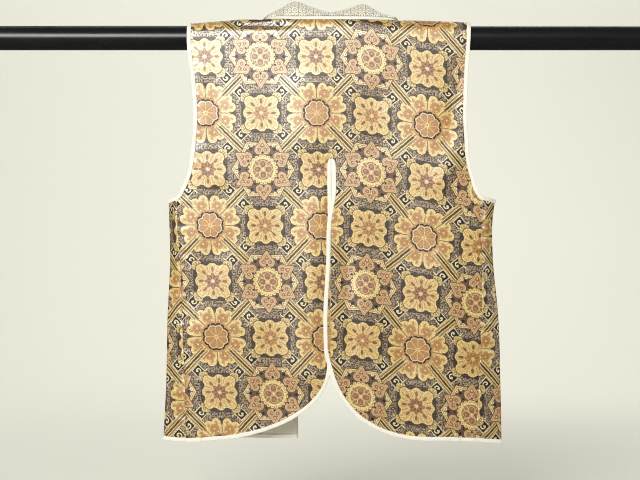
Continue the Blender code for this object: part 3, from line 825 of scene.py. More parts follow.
def armhole_line(side, back, front, gusset):
    """All round an armhole: down the back, over the gusset and up the front."""
    path, normals = joined_edge((
        edge_of(back, slice(0, SEAM_ROW + 1), -1),
        edge_of(gusset, 0, slice(None)),
        edge_of(front, slice(SEAM_ROW, None, -1), 0),
    ))
    path[0] = (path[0] + path[-1]) / 2
    normals[0] = unit(normals[0] + normals[-1])
    path, normals = path[:-1], normals[:-1]
    if side == "right":
        path, normals = path[::-1], normals[::-1]
    return path, normals


def hem_line(side, back, front, gusset):
    """From the vent's top down its edge, round the corner and along all the hems."""
    inner, bottom = edge_of(back, slice(VENT_ROW + 1, None), 0), edge_of(back, -1, slice(1, None))
    path, normals = joined_edge((
        [np.concatenate(pair) for pair in zip(inner, bottom)],
        edge_of(gusset, -1, slice(None)),
        edge_of(front, -1, slice(None)),
    ))
    if side == "left":
        path, normals = path[::-1], normals[::-1]
    return path, normals


def neck_line(backs, fronts):
    """The edge that carries the collar: up the right front, round the neck, down the left."""
    rows = ARCH_ROWS + int(np.sum(HEIGHTS >= CHEST - 1e-6))
    path, normals = joined_edge((
        edge_of(fronts["right"], slice(rows - 1, None, -1), -1),
        edge_of(backs["right"], 0, slice(NECK_STEPS, None, -1)),
        edge_of(backs["left"], 0, slice(0, NECK_STEPS + 1)),
        edge_of(fronts["left"], slice(0, rows), -1),
    ))
    return path, normals, rows


def collar_cloth(path, normals, rows):
    """The collar on a grid: it stands and leans forward behind the neck, then lies flat.

    Each section starts on the piping, leans out by rise and reach, and bulges by a sine. Over
    the shoulders the lean turns into the lapel's width across the front.
    """
    out, face = edge_frame(path, normals)
    count = len(path)
    i = np.arange(count)
    front = (i < rows - 1) | (i > count - rows)
    way = np.where(i < count / 2, 1.0, -1.0)
    station = np.where(i < count / 2, rows - 1 - i, i - (count - rows))
    x = np.clip(path[:, 0], -NECK_HALF, NECK_HALF)
    corner = ease((np.abs(x) - COLLAR_BEND) / (NECK_HALF - COLLAR_BEND))
    flat = np.where(front, ease(station / (ARCH_ROWS - 1)), 0.0)[:, None]
    swing = np.where(front, 1.0, corner) * PI / 2
    over = (ROLL_HEIGHT + COLLAR_CLEAR) * np.cos(swing)
    above = (ROLL_THICK + COLLAR_CLEAR) * np.sin(swing)
    base = path + out * (ROLL_HEIGHT + GAP + over)[:, None] + face * above[:, None]
    rise, reach = (smooth(COLLAR_BACK, "x", column, x) for column in ("rise", "reach"))
    width = smooth(LAPEL, "z", "width", path[:, 2])
    standing = stacked(way * COLLAR_TURN * corner, reach, rise)
    lying = stacked(way * width, LAPEL_LIFT * width / COLLAR_DEPTH, 0.0)
    lean = standing * (1 - flat) + lying * flat
    bulge = unit(stacked(0.0, -rise, reach)) * (1 - flat) + np.array((0.0, 1.0, 0.0)) * flat
    deep = np.linalg.norm(lean, axis=1, keepdims=True)
    f = np.linspace(0.0, 1.0, COLLAR_STEPS + 1)
    run = run_along(path)[:, None]
    swell = COLLAR_BULGE * deep / COLLAR_DEPTH * np.sin(PI * f)
    swell = swell + ripples(run, COLLAR_RIPPLE) * (np.sin(PI * f) + 0.6 * f)
    grid = base[:, None] + lean[:, None] * f[:, None] + bulge[:, None] * swell[..., None]
    return Cloth(grid, stacked(run, deep * f))


def make_roll(path, normals, material):
    """The piping: an oval section carried along the neck's edge, with a blunt tip at each end."""
    out, face = edge_frame(path, normals)
    turns = np.arange(ROLL_SIDES) * 2 * PI / ROLL_SIDES
    run = run_along(path)[:, None]
    side = ROLL_HEIGHT + ROLL_GAP + ROLL_HEIGHT * np.cos(turns)
    stand = (1 + ripples(run, ROLL_SWELL)) * ROLL_THICK * np.sin(turns)
    rings = path[:, None] + out[:, None] * side[:, None] + face[:, None] * stand[..., None]
    tips = []
    for end, way in ((0, -1.0), (-1, 1.0)):
        ahead = along(path, False)[end] * way
        middle = rings[end].mean(0)
        tips += [middle + (rings[end] - middle) * share + ahead * far for share, far in ROLL_TIP]
    rings = np.concatenate((tips[2::-1], rings, tips[3:]))
    place = stacked(turns * ROLL_HEIGHT, np.pad(run, ((3, 3), (0, 0)), mode="edge"))
    faces = grid_faces(len(rings), ROLL_SIDES, closed_columns=True)
    return make_mesh("neck_roll", rings, faces, place, (material,))


def lining_cloth(front):
    """The lining of the left front: the front's own surface moved in, short of its edges."""
    inward = BROCADE / 2 + GAP + LINING / 2
    grid = (front.points - front.normals * inward)[SEAM_ROW + 1:].copy()
    edge = grid[:, -1] - grid[:, -2]
    grid[:, -1] -= unit(edge) * LINING_INSET
    lift = np.clip((grid[..., 2] - grid[-1:, :, 2]) / LINING_LIFT, 0.0, 1.0)
    grid[..., 2] += LINING_HEM * (1 - lift)
    grid[:, 0] += (grid[:, 1] - grid[:, 0]) * 0.5
    return Cloth(grid, stacked(run_along(grid, axis=1), -grid[..., 2]), front.way)


def make_rod(material):
    """The rod: circles along X, with each end's edge turned over as a quarter of a circle."""
    half = ROD_LENGTH / 2
    bend = np.linspace(0.0, PI / 2, 6)
    end_r = ROD_RADIUS - ROD_EDGE * (1 - np.cos(bend))
    x = np.concatenate((
        np.linspace(0.0, half - ROD_EDGE, 12)[:-1],
        half - ROD_EDGE * (1 - np.sin(bend)),
        np.full(4, half),
    ))
    r = np.concatenate((np.full(11, ROD_RADIUS), end_r, ROD_RADIUS * np.array((0.9, 0.6, 0.3, 0.02))))
    x = np.concatenate((-x[:0:-1], x))[:, None]
    r = np.concatenate((r[:0:-1], r))[:, None]
    turns = np.arange(ROD_SIDES) * 2 * PI / ROD_SIDES
    rings = stacked(x, r * np.cos(turns), r * np.sin(turns))
    faces = grid_faces(len(x), ROD_SIDES, closed_columns=True)
    item = make_mesh("rod_bar", rings, faces, stacked(x, turns * ROD_RADIUS), (material,))
    item.data.set_sharp_from_angle(angle=np.radians(50))
    return item


def tone(red, green, blue):
    """A colour given as it looks on screen, from 0 to 255, made linear."""
    s = np.array((red, green, blue)) / 255.0
    linear = np.where(s <= 0.04045, s / 12.92, ((s + 0.055) / 1.055) ** 2.4)
    return (*linear.tolist(), 1.0)


def feed(tree, node, inputs):
    """Feeds a node's inputs, by name or number: fields and sockets are linked, values are set."""
    for slot, value in inputs.items():
        value = value.socket if isinstance(value, Field) else value
        if isinstance(value, bpy.types.NodeSocket):
            tree.links.new(value, node.inputs[slot])
        else:
            node.inputs[slot].default_value = value


def add_node(tree, kind, inputs, **settings):
    """Adds a node with its settings, and feeds its inputs."""
    node = tree.nodes.new(kind)
    for name, value in settings.items():
        setattr(node, name, value)
    feed(tree, node, inputs)
    return node


def noise(tree, place, scale, detail, roughness=0.5):
    """Adds a noise texture at a place."""
    values = {"Vector": place, "Scale": scale, "Detail": detail, "Roughness": roughness}
    return add_node(tree, "ShaderNodeTexNoise", values)


def apart(tree, kind, socket):
    """The fields of a place's X, Y and Z, or of a colour's red, green and blue."""
    return [Field(tree, part) for part in add_node(tree, kind, {0: socket}).outputs]


class Field:
    """A number that changes over a surface; Python's operators add Math nodes to its tree."""

    def __init__(self, tree, socket):
        self.tree = tree
        self.socket = socket

    def math(self, operation, *others, first=True):
        """Adds a Math node of this field and others."""
        values = (self, *others) if first else (*others, self)
        node = add_node(self.tree, "ShaderNodeMath", dict(enumerate(values)), operation=operation)
        return Field(self.tree, node.outputs[0])

    def __add__(self, other):
        return self.math("ADD", other)

    def __sub__(self, other):
        return self.math("SUBTRACT", other)

    def __rsub__(self, other):
        return self.math("SUBTRACT", other, first=False)

    def __mul__(self, other):
        return self.math("MULTIPLY", other)

    def __abs__(self):
        return self.math("ABSOLUTE")

    def wrap(self, span):
        """Folds the number into a repeat of this span, with 0 at its middle."""
        return self.math("WRAP", span / 2, -span / 2)

    def step(self, edge, soft, start, end):
        """Goes from start to end across an edge, over twice a soft width."""
        node = add_node(self.tree, "ShaderNodeMapRange", {
            "Value": self, "From Min": edge - soft, "From Max": edge + soft,
            "To Min": start, "To Max": end}, interpolation_type="SMOOTHSTEP")
        return Field(self.tree, node.outputs["Result"])

    def below(self, edge, soft=SOFT, share=1.0):
        """A share where the number is below an edge, and 0 above it."""
        return self.step(edge, soft, share, 0.0)

    def above(self, edge, soft=SOFT):
        """1 where the number is above an edge, and 0 below it."""
        return self.step(edge, soft, 0.0, 1.0)

    def band(self, middle, half, soft=0.6):
        """1 where the number is within half of middle, with soft edges."""
        return abs(self - middle).below(half, soft)


def length(x, y):
    """Distance of a place from the origin."""
    return (x * x + y * y).math("SQRT")


def sector(r, turn, count, first=0.0):
    """Place in one of count equal sectors: out along its middle line, and off that line."""
    off = abs((turn - first).wrap(2 * PI / count))
    return r * off.math("COSINE"), r * off.math("SINE")


def eighth_seam(out, off):
    """Distance from the line between two of eight sectors."""
    return out * 0.3827 - off * 0.9239


class Look:
    """Colour, metal and height of a patterned cloth, painted layer by layer."""

    def __init__(self, tree, colour, metal=None, height=None):
        self.tree = tree
        self.colour = colour
        self.metal = metal
        self.height = height

    def mix(self, kind, mask, old, new):
        """Adds a Mix node from old to new by a mask."""
        first, result = MIX_SOCKETS[kind]
        values = {0: mask, first: old, first + 1: new}
        return add_node(self.tree, "ShaderNodeMix", values, data_type=kind).outputs[result]

    def paint(self, mask, colour, metal=None, height=None):
        """Lays a colour over what is there, and a metal value and height if they are given."""
        self.colour = self.mix("RGBA", mask, self.colour, colour)
        if metal is not None:
            self.metal = self.mix("FLOAT", mask, self.metal, metal)
        if height is not None:
            self.height = self.mix("FLOAT", mask, self.height, height)

    def fill(self, field, *rows):
        """Paints where a field is below an edge: rows of edge, softness, colour, metal, height."""
        for edge, soft, *what in rows:
            self.paint(field.below(edge, soft), *what)

    def dots(self, out, off, *rows):
        """Paints round dots: rows of place out and off, radius, softness, colour, metal, height."""
        for at_out, at_off, radius, soft, *what in rows:
            self.paint(length(out - at_out, off - at_off).below(radius, soft), *what)


# Thread colours of the gold brocade
CREAM = tone(244, 222, 154)
LIGHT_GOLD = tone(234, 204, 128)
PALE_GOLD = tone(220, 184, 106)
GOLD = tone(190, 142, 70)
ORANGE_GOLD = tone(184, 130, 62)
OLIVE = tone(112, 86, 40)
BROWN = tone(70, 44, 22)
NAVY = tone(26, 18, 26)
PALE_ROSE = tone(224, 188, 140)
ROSE = tone(174, 126, 86)
DEEP_ROSE = tone(140, 92, 66)
UMBER = tone(104, 76, 54)
TAWNY = tone(140, 96, 58)
TAN = tone(176, 142, 98)
LEAF = tone(148, 126, 72)
PALE_LEAF = tone(212, 194, 130)
BAR = tone(160, 140, 92)
GROUND = tone(62, 39, 27)
DARK_GROUND = tone(48, 32, 24)
LILAC = tone(222, 206, 186)
WHITE_THREAD = tone(248, 240, 214)


def paint_ground(look, u, v, near):
    """Small rings in staggered cells on a dark ground, left out close to the motifs."""
    tree = look.tree
    place = add_node(tree, "ShaderNodeCombineXYZ", {"X": u * RING_SCALE, "Y": v * RING_SCALE})
    cells = add_node(tree, "ShaderNodeTexVoronoi", {
        "Vector": place.outputs[0], "Scale": 1.0, "Randomness": 0.6}, voronoi_dimensions="2D")
    d = Field(tree, cells.outputs["Distance"])
    chance = apart(tree, "ShaderNodeSeparateColor", cells.outputs["Color"])[0]
    kept = (chance * 0.9 + 0.3).math("MINIMUM", 1.0)
    look.paint(d.band(0.30, 0.11, 0.06) * kept, LILAC, 0.3)
    look.paint(d.below(0.10, 0.05), NAVY, 0.0)
    look.paint(near.below(3.0, 1.6, 0.9), DARK_GROUND, 0.2, 0.0)


def paint_bars(look, x, y, keep):
    """Double bars on the diagonals between the flowers, and small boxes on both sides of them.

    Distances are taken along and off the diagonal; a box is where both its offsets are small.
    """
    x, y = abs(x), abs(y)
    off = abs(x * DIAGONAL[1] - y * DIAGONAL[0])
    on = x * DIAGONAL[0] + y * DIAGONAL[1] - BOX[0]
    look.paint(off.band(29.4, 0.8, 0.5) * abs(on).below(17.0, 1.0), WHITE_THREAD, 0.2)
    look.fill(abs(on).math("MAXIMUM", abs(off - BOX[1])),
              (10.2, SOFT, WHITE_THREAD, 0.1, 0.7), (8.7, SOFT, NAVY, 0.0, 0.4))
    curl = length(on, off - 20.4).band(4.6, 1.2, 0.4)
    look.paint(curl * (on * 0.8 + (off - 20.4) * 0.6).below(2.2, 0.5), WHITE_THREAD)
    look.dots(on, off, (1.6, 19.2, 1.7, 0.5, WHITE_THREAD))
    for mask, *what in (
            (off.below(8.8), CREAM, 0.2, 0.8),
            (off.below(7.3, 0.4), BAR, 0.3),
            (off.band(5.0, 0.5, 0.4), OLIVE),
            (off.band(3.2, 0.8, 0.4), CREAM),
            (off.below(1.7, 0.4), BROWN, 0.0, 0.4)):
        look.paint(mask * keep, *what)


def paint_square(look, x, y, rosy):
    """A small square flower: eight petals with drops, a star, and a tuft at each corner."""
    r, turn = length(x, y), y.math("ARCTAN2", x)
    out, off = sector(r, turn, 4, PI / 4)
    lobes = abs((off.math("ARCTAN2", out - 42.0) * 2.5).math("COSINE")) * 2.4
    tuft = length(out - 44.0, off) - lobes
    look.fill(tuft, (9.6, SOFT, BROWN, 0.1, 0.5), (8.4, SOFT, PALE_LEAF, 0.2, 0.7))
    look.paint(tuft.below(5.0, 0.9, 0.8), LEAF)
    for vein, middle, half in ((off, 46.0, 7.0), (off - (out - 38.0) * 0.55, 45.0, 6.0)):
        look.paint(vein.band(0.0, 0.7, 0.5) * out.band(middle, half, 1.0), CREAM)
    out, off = sector(r, turn, 8)
    corner = length(abs(x) - 23.0, abs(y) - 23.0) - 11.2
    block = abs(x).math("MAXIMUM", abs(y)) - 31.5
    rim = (length(out - 25.6, off) - 11.2).math("MINIMUM", block).math("MINIMUM", corner)
    look.fill(rim, (1.0, SOFT, BROWN, 0.2, 0.5), (-0.5, SOFT, CREAM, 0.2, 0.9))
    look.paint(rim.below(-2.8, 1.2, 0.7), PALE_GOLD, 0.3)
    look.paint(off.band(4.8, 0.4, 0.5) * out.above(22.0) * rim.below(-1.8, share=0.6), OLIVE)
    look.paint(off.band(7.2, 0.5, 0.5) * out.above(23.0) * rim.below(-1.6), CREAM)
    drop = length((out - 23.8) * 0.165, off * 0.34)
    look.paint(drop.band(1.6, 0.2, 0.15) * out.above(33.0, 1.0) * rim.below(-1.8), CREAM)
    look.paint(drop.below(0.92, 0.2), look.mix("RGBA", rosy, OLIVE, TAWNY), 0.3)
    look.paint(eighth_seam(out, off).below(0.5, 0.5, 0.8) * r.band(25.5, 8.0, 1.0), OLIVE)
    heart = look.mix("RGBA", rosy, ORANGE_GOLD, DEEP_ROSE)
    look.fill(r - (turn * 8.0).math("COSINE") * 3.2,
              (15.4, SOFT, PALE_GOLD, 0.3, 0.8), (14.2, 1.0, heart, 0.4, 0.8))
    ray = look.mix("RGBA", rosy, GOLD, ROSE)
    look.paint(off.below(0.8, 0.5) * r.band(9.5, 5.0, 1.0), ray)
    out, off = sector(r, turn, 8, PI / 8)
    look.paint(off.below(0.5, 0.5) * r.band(9.0, 5.0, 1.0), BROWN)
    look.fill(r, (4.4, SOFT, PALE_GOLD), (2.4, SOFT, CREAM))


def paint_gold_flower(look, x, y):
    """A large gold flower: eight two-lobed petals round an eight-petalled rosette."""
    r, turn = length(x, y), y.math("ARCTAN2", x)
    out, off = sector(r, turn, 8, PI / 8)
    lobe = length(out - 51.5, off - 8.6)
    look.fill((lobe - 9.6).math("MINIMUM", r - 47.5),
              (1.0, SOFT, BROWN, 0.2, 0.5), (-0.3, SOFT, CREAM, 0.2, 1.0), (-2.6, 1.0, LIGHT_GOLD, 0.3))
    look.paint(lobe.band(5.6, 0.5, 0.4) * out.above(46.0, 0.5), CREAM)
    look.paint(length((out - 51.5) * 0.6, off - 9.0).below(2.4, 1.2, 0.8), LEAF)
    look.dots(out, off, (52.0, 0.0, 1.8, 0.6, CREAM))
    seam = eighth_seam(out, off)
    look.paint(seam.below(2.4, 0.6) * r.band(40.0, 9.0, 2.0), CREAM)
    look.paint(seam.below(1.0, 0.6) * r.band(41.0, 11.0, 2.0), OLIVE)
    blob = length(out - 40.5, off)
    look.paint(blob.below(10.8, 1.0, 0.5), OLIVE, 0.4, 0.8)
    look.paint(blob.below(9.8, 1.6), GOLD, 0.4)
    look.paint(blob.below(7.6, 2.4, 0.9), ORANGE_GOLD, 0.4)
    look.dots(out, off, (41.5, 0.0, 1.9, 0.9, CREAM), (34.0, 5.0, 1.5, 0.6, CREAM))
    look.paint(r.below(31.0, 1.5), GOLD, 0.3, 0.9)
    petal = length(out - 15.5, off) - 8.4
    dash = petal.band(2.9, 1.7, 0.5) * off.below(9.4, 0.8) * off.above(1.0, 0.6)
    look.paint(dash * r.band(26.5, 4.5, 1.0), NAVY, 0.0, 0.6)
    petal = petal.math("MINIMUM", r - 16.0)
    look.fill(petal, (0.6, SOFT, WHITE_THREAD, 0.1, 1.0), (-0.7, SOFT, ORANGE_GOLD, 0.4))
    look.paint(petal.below(-3.6, 1.6, 0.8), GOLD)
    look.paint(seam.below(0.5, 0.5) * r.band(13.5, 7.0, 1.0), CREAM)
    look.fill(r - (turn * 8.0).math("COSINE") * 2.0, (4.6, SOFT, CREAM))
    look.fill(r, (1.7, 0.5, GOLD))


def paint_rose_flower(look, x, y):
    """A large rose flower: six petals and six fans round a scalloped disc with four petals."""
    r, turn = length(x, y), y.math("ARCTAN2", x)
    look.paint(r.below(46.0, 1.5), UMBER, 0.3, 0.5)
    out, off = sector(r, turn, 6)
    fan = (off * 0.54 + (out - 63.0) * 0.84).math("MAXIMUM", off - 19.0)
    look.fill(fan, (1.0, SOFT, BROWN, 0.2, 0.5), (-0.4, SOFT, CREAM, 0.2, 0.8), (-2.4, SOFT, TAN))
    look.paint(fan.band(-4.8, 0.7, 0.5), CREAM)
    look.paint(fan.below(-6.6, 1.0), UMBER)
    look.paint(length(out - 52.5, off - 4.6).band(2.3, 0.9, 0.4), WHITE_THREAD)
    look.dots(out, off, (46.5, 0.0, 3.2, 0.6, NAVY, 0.0, 0.4))
    out, off = sector(r, turn, 6, PI / 6)
    cone = (off * 0.85 + (out - 40.0) * 0.53 - 13.2).math("MAXIMUM", 39.0 - out)
    cone = cone.math("MAXIMUM", length(out - 38.0, off) - 24.0)
    petal = (length(out - 39.0, off - 6.8) - 9.2).math("MINIMUM", cone)
    look.fill(petal, (1.1, SOFT, BROWN, 0.2, 0.5), (-0.3, SOFT, PALE_ROSE, 0.2, 1.0),
              (-2.0, SOFT, TAN, 0.3))
    look.paint(petal.band(-4.0, 0.8, 0.5), PALE_ROSE)
    look.paint(petal.below(-5.6, 0.8), ROSE, 0.3)
    look.dots(out, off, (39.5, 6.2, 3.4, 0.7, DEEP_ROSE), (39.0, 6.0, 1.5, 0.5, PALE_ROSE),
              (47.5, 0.0, 3.8, 0.7, DEEP_ROSE), (48.5, 0.0, 1.7, 0.5, CREAM))
    look.dots(*sector(r, turn, 12), (33.6, 0.0, 2.1, 0.5, NAVY, 0.0))
    out, off = sector(r, turn, 20, PI / 20)
    disc = (length(out - 26.0, off) - 4.0).math("MINIMUM", r - 26.0)
    look.fill(disc, (0.8, SOFT, BROWN, 0.2, 0.6), (-0.3, SOFT, CREAM, 0.2, 1.0))
    look.dots(out, off, (26.0, 0.0, 1.3, 0.6, GOLD))
    look.fill(r, (20.4, 0.8, OLIVE, 0.3), (19.2, 0.8, ROSE, 0.3))
    out, off = sector(r, turn, 4, PI / 4)
    look.fill(length((out - 17.0) * 0.16, off * 0.30), (1.25, 0.15, CREAM), (0.9, 0.15, LEAF))
    out, off = sector(r, turn, 4)
    look.fill(length((out - 10.8) * 0.145, off * 0.165),
              (1.16, 0.1, PALE_ROSE), (0.92, 0.12, DEEP_ROSE, 0.3))
    look.dots(out, off, (12.0, 0.0, 3.0, 0.8, ROSE))
    look.fill(r, (3.0, SOFT, CREAM))


def new_group(name, inputs, outputs):
    """An empty shader node group: its tree, the sockets that feed it, and its end node."""
    tree = bpy.data.node_groups.new(name, "ShaderNodeTree")
    for way, labels in (("INPUT", inputs), ("OUTPUT", outputs)):
        for label in labels:
            kind = SOCKET_KINDS.get(label, "NodeSocketFloat")
            tree.interface.new_socket(name=label, in_out=way, socket_type=kind)
    return tree, tree.nodes.new("NodeGroupInput").outputs, tree.nodes.new("NodeGroupOutput")


def weave_group():
    """Group for threads: their height and a mask that varies from thread to thread.

    Place is in metres; Across and Down are how many threads there are in a metre each way.
    """
    tree, ins, outs = new_group("woven threads", ("Place", "Across", "Down"), ("Height", "Mask"))
    x, y, _ = apart(tree, "ShaderNodeSeparateXYZ", ins["Place"])
    across, down = x * ins["Across"], y * ins["Down"]
    place = add_node(tree, "ShaderNodeCombineXYZ", {"X": across * 0.16, "Y": down * 0.7})
    mask = Field(tree, noise(tree, place.outputs[0], 1.0, 2.0).outputs["Fac"])
    over = (across * PI).math("SINE") * (down * PI).math("SINE")
    feed(tree, outs, {"Height": over * 0.5 + mask, "Mask": mask})
    return tree


def brocade_group():
    """Group for the gold brocade: a lattice of flowers and squares worked out by rule.

    Place is the cloth's own place in metres: across, and down. Half a repeat apart lie gold
    flowers, rose flowers and two sorts of square flowers, joined by bars on the diagonals.
    """
    tree, ins, outs = new_group("shokko brocade", ("Place",), ("Colour", "Metal", "Height"))
    wobble = noise(tree, ins["Place"], 170.0, 1.0)
    shift = apart(tree, "ShaderNodeSeparateColor", wobble.outputs["Color"])
    x, y, _ = apart(tree, "ShaderNodeSeparateXYZ", ins["Place"])
    u, v = (part * MM + stray * WOBBLE - WOBBLE / 2 for part, stray in zip((x, y), shift))
    wide, tall = REPEAT_ACROSS * MM, REPEAT_DOWN * MM
    u0, v0 = u.wrap(wide), v.wrap(tall)
    u1, v1 = (u + wide / 2).wrap(wide), (v + tall / 2).wrap(tall)
    nearer = (length(u1, v0) - length(u0, v1)).below(0.0, 0.01)
    flip = 1.0 - nearer
    square_x = u1 * nearer + u0 * flip
    square_y = v0 * nearer + v1 * flip
    gold_r = length(u0, v0)
    corner = length(*((abs(part) - 15.0).math("MAXIMUM", 0.0) for part in (square_x, square_y)))
    outline = (gold_r - 58.0).math("MINIMUM", length(u1, v1) - 54.0).math("MINIMUM", corner - 22.0)
    look = Look(tree, GROUND, 0.5, 0.0)
    paint_ground(look, u, v, outline)
    paint_gold_flower(look, u0, v0)
    paint_bars(look, u0, v0, (gold_r - v0.below(0.0, 2.0, 15.0)).above(38.0, 1.0))
    paint_square(look, square_x, square_y, flip)
    paint_rose_flower(look, u1, v1)
    feed(tree, outs, {"Colour": look.colour, "Metal": look.metal, "Height": look.height})
    return tree


def scroll_group():
    """Group for the collar's white brocade: rings and arcs of grey thread in staggered rows."""
    tree, ins, outs = new_group("white scrolls", ("Place",), ("Lines", "Height"))
    u, v, _ = apart(tree, "ShaderNodeSeparateXYZ", ins["Place"])
    parts = []
    for shift in (0.0, 0.5):
        x, y = ((part * MM + span * shift).wrap(span) for part, span in ((u, 30.0), (v, 25.0)))
        r, turn = length(x, y), y.math("ARCTAN2", x)
        rays = abs((turn * 4.0).math("SINE")).below(0.35, 0.2) * r.band(11.0, 1.7, 0.5)
        parts.append(r.band(7.6, 0.8, 0.4) + r.band(3.0, 0.7, 0.4) + rays)
    total = parts[0].math("MAXIMUM", parts[1]).math("MINIMUM", 1.0)
    feed(tree, outs, {"Lines": total, "Height": total * 0.6})
    return tree


def new_material(name):
    """A material, its Principled shader and its node tree."""
    material = bpy.data.materials.new(name)
    material.use_nodes = True
    return material, material.node_tree.nodes["Principled BSDF"], material.node_tree


def cloth_place(tree):
    """The cloth's own place, kept in its UV map."""
    return add_node(tree, "ShaderNodeUVMap", {}, uv_map="cloth").outputs[0]


def use_group(tree, group, place, **values):
    """Places a group in a material with its own values, and gives its outputs by name."""
    node = add_node(tree, "ShaderNodeGroup", {}, node_tree=group)
    feed(tree, node, {"Place": place, **values})
    return {socket.name: Field(tree, socket) for socket in node.outputs}


def add_bump(tree, shader, height, distance):
    """Feeds a height into the shader's normal."""
    bump = add_node(tree, "ShaderNodeBump", {"Strength": 1.0, "Distance": distance, "Height": height})
    feed(tree, shader, {"Normal": bump.outputs[0]})


def gold_brocade(brocade, weave):
    """The gold brocade: its pattern's colour and metal, with threads that vary in tone, glints partly
    painted into the colour, and a coat that shines unevenly.
    """
    material, shader, tree = new_material("gold brocade")
    place = cloth_place(tree)
    pattern = use_group(tree, brocade, place)
    threads = use_group(tree, weave, place, Across=1500.0, Down=1300.0)
    speckle = Field(tree, noise(tree, place, 430.0, 2.0, 0.7).outputs["Fac"])
    # Base colour lifted and lowered in speckled spots: partly the threads' own uneven tone, partly
    # painted glint
    bright = threads["Mask"] * 1.1 + speckle * 2.3 - 0.7
    tints = apart(tree, "ShaderNodeSeparateColor", noise(tree, place, 290.0, 1.0).outputs["Color"])
    level = add_node(tree, "ShaderNodeCombineColor", {
        slot: bright * (part * spread + share - spread / 2)
        for slot, (part, (share, spread)) in enumerate(zip(tints, TINTS))})
    shade = add_node(tree, "ShaderNodeMix", {0: 1.0, 6: pattern["Colour"], 7: level.outputs[0]},
                     data_type="RGBA", blend_type="MULTIPLY")
    grey = add_node(tree, "ShaderNodeRGBToBW", {0: pattern["Colour"]})
    gloss = Field(tree, grey.outputs[0]).math("SQRT") + 0.1
    feed(tree, shader, {
        "Base Color": shade.outputs[2],
        "Metallic": pattern["Metal"] * 0.35,
        "Roughness": speckle * 0.3 + 0.27,
        "Coat Weight": gloss * (speckle + 0.45),
        "Coat Roughness": 0.38,
        "Coat IOR": 3.1,
        "Specular IOR Level": 0.3,
    })
    add_bump(tree, shader, pattern["Height"] * 0.5 + threads["Height"] * 0.35, 0.0005)
    return material


def plain_cloth(name, weave, colour, roughness, count, sheen, vary):
    """A plain woven cloth: one colour that varies a little from thread to thread."""
    material, shader, tree = new_material(name)
    threads = use_group(tree, weave, cloth_place(tree), Across=count, Down=count * 0.9)
    look = Look(tree, colour)
    look.paint(threads["Mask"], tuple(part * (1 - vary) for part in colour[:3]) + (1.0,))
    feed(tree, shader, {"Base Color": look.colour, "Roughness": roughness, "Sheen Weight": sheen})
    add_bump(tree, shader, threads["Height"], 0.00025)
    return material


def white_brocade(weave, scrolls):
    """The collar's white brocade with pale scrolls in grey thread."""
    material, shader, tree = new_material("white brocade")
    place = cloth_place(tree)
    lines = use_group(tree, scrolls, place)
    threads = use_group(tree, weave, place, Across=1900.0, Down=1500.0)
    look = Look(tree, tone(250, 247, 232))
    look.paint(threads["Mask"] * 0.25, tone(232, 226, 204))
    look.paint(lines["Lines"] * 0.85, tone(150, 136, 100))
    feed(tree, shader, {"Base Color": look.colour, "Roughness": 0.5, "Sheen Weight": 0.2})
    add_bump(tree, shader, lines["Height"] + threads["Height"] * 0.4, 0.0004)
    return material


def black_gloss():
    """The rod's black gloss paint: faint unevenness in its shine, read from Object coordinates."""
    material, shader, tree = new_material("black gloss")
    place = add_node(tree, "ShaderNodeTexCoord", {}).outputs["Object"]
    streaks = add_node(tree, "ShaderNodeMapping", {"Vector": place, "Scale": (6.0, 60.0, 60.0)})
    grain = Field(tree, noise(tree, streaks.outputs[0], 1.0, 4.0).outputs["Fac"])
    look = Look(tree, tone(16, 16, 18))
    look.paint(grain * 0.3, tone(34, 34, 36))
    feed(tree, shader, {"Base Color": look.colour, "Roughness": grain * 0.16 + 0.2})
    add_bump(tree, shader, grain, 0.00012)
    return material


def plain_stage(name, colour):
    """A matt material for the floor and backdrop: dim in reflections, clear from behind."""
    material, shader, tree = new_material(name)
    look = Look(tree, colour)
    path = add_node(tree, "ShaderNodeLightPath", {})
    look.paint(path.outputs["Is Glossy Ray"], (0.12, 0.12, 0.11, 1.0))
    feed(tree, shader, {"Base Color": look.colour, "Roughness": 0.9, "Specular IOR Level": 0.1})
    side = add_node(tree, "ShaderNodeNewGeometry", {})
    clear = add_node(tree, "ShaderNodeBsdfTransparent", {})
    either = add_node(tree, "ShaderNodeMixShader", {
        0: side.outputs["Backfacing"], 1: shader.outputs[0], 2: clear.outputs[0]})
    feed(tree, tree.nodes["Material Output"], {"Surface": either.outputs[0]})
    return material


def make_stage():
    """A pale floor that sweeps up into a backdrop far behind: a plane, then a quarter circle."""
    floor, far, bend, top = -0.97, 4.6, 1.6, 5.0
    turn = np.linspace(0.0, PI / 2, 24)
    y = np.concatenate(((-7.0,), far - bend + bend * np.sin(turn), (far,)))
    z = np.concatenate(((floor,), floor + bend * (1 - np.cos(turn)), (top,)))
    grid = stacked(np.array((-9.0, 9.0)), y[:, None], z[:, None])
    matt = plain_stage("pale floor", tone(236, 235, 224))
    add_item("floor_sweep", grid, grid_faces(len(y), 2).tolist(), (matt,))


def soft_light(name, place, aim, size, power, colour):
    """A rectangular area light at a place, turned to an aim."""
    data = bpy.data.lights.new(name, "AREA")
    data.shape = "RECTANGLE"
    data.size, data.size_y = size
    data.energy = power
    data.color = colour
    item = bpy.data.objects.new(name, data)
    bpy.context.scene.collection.objects.link(item)
    item.location = place
    way = Vector(aim) - Vector(place)
    item.rotation_mode = "QUATERNION"
    item.rotation_quaternion = way.to_track_quat("-Z", "Y")


def make_world():
    """A plain pale surround: bright where the camera sees it, dimmer as a source of light."""
    world = bpy.data.worlds.new("studio")
    bpy.context.scene.world = world
    world.use_nodes = True
    tree = world.node_tree
    path = add_node(tree, "ShaderNodeLightPath", {})
    look = Look(tree, (0.10, 0.10, 0.10, 1.0))
    look.paint(path.outputs["Is Camera Ray"], (0.80, 0.80, 0.74, 1.0))
    feed(tree, tree.nodes["Background"], {"Color": look.colour, "Strength": 1.0})


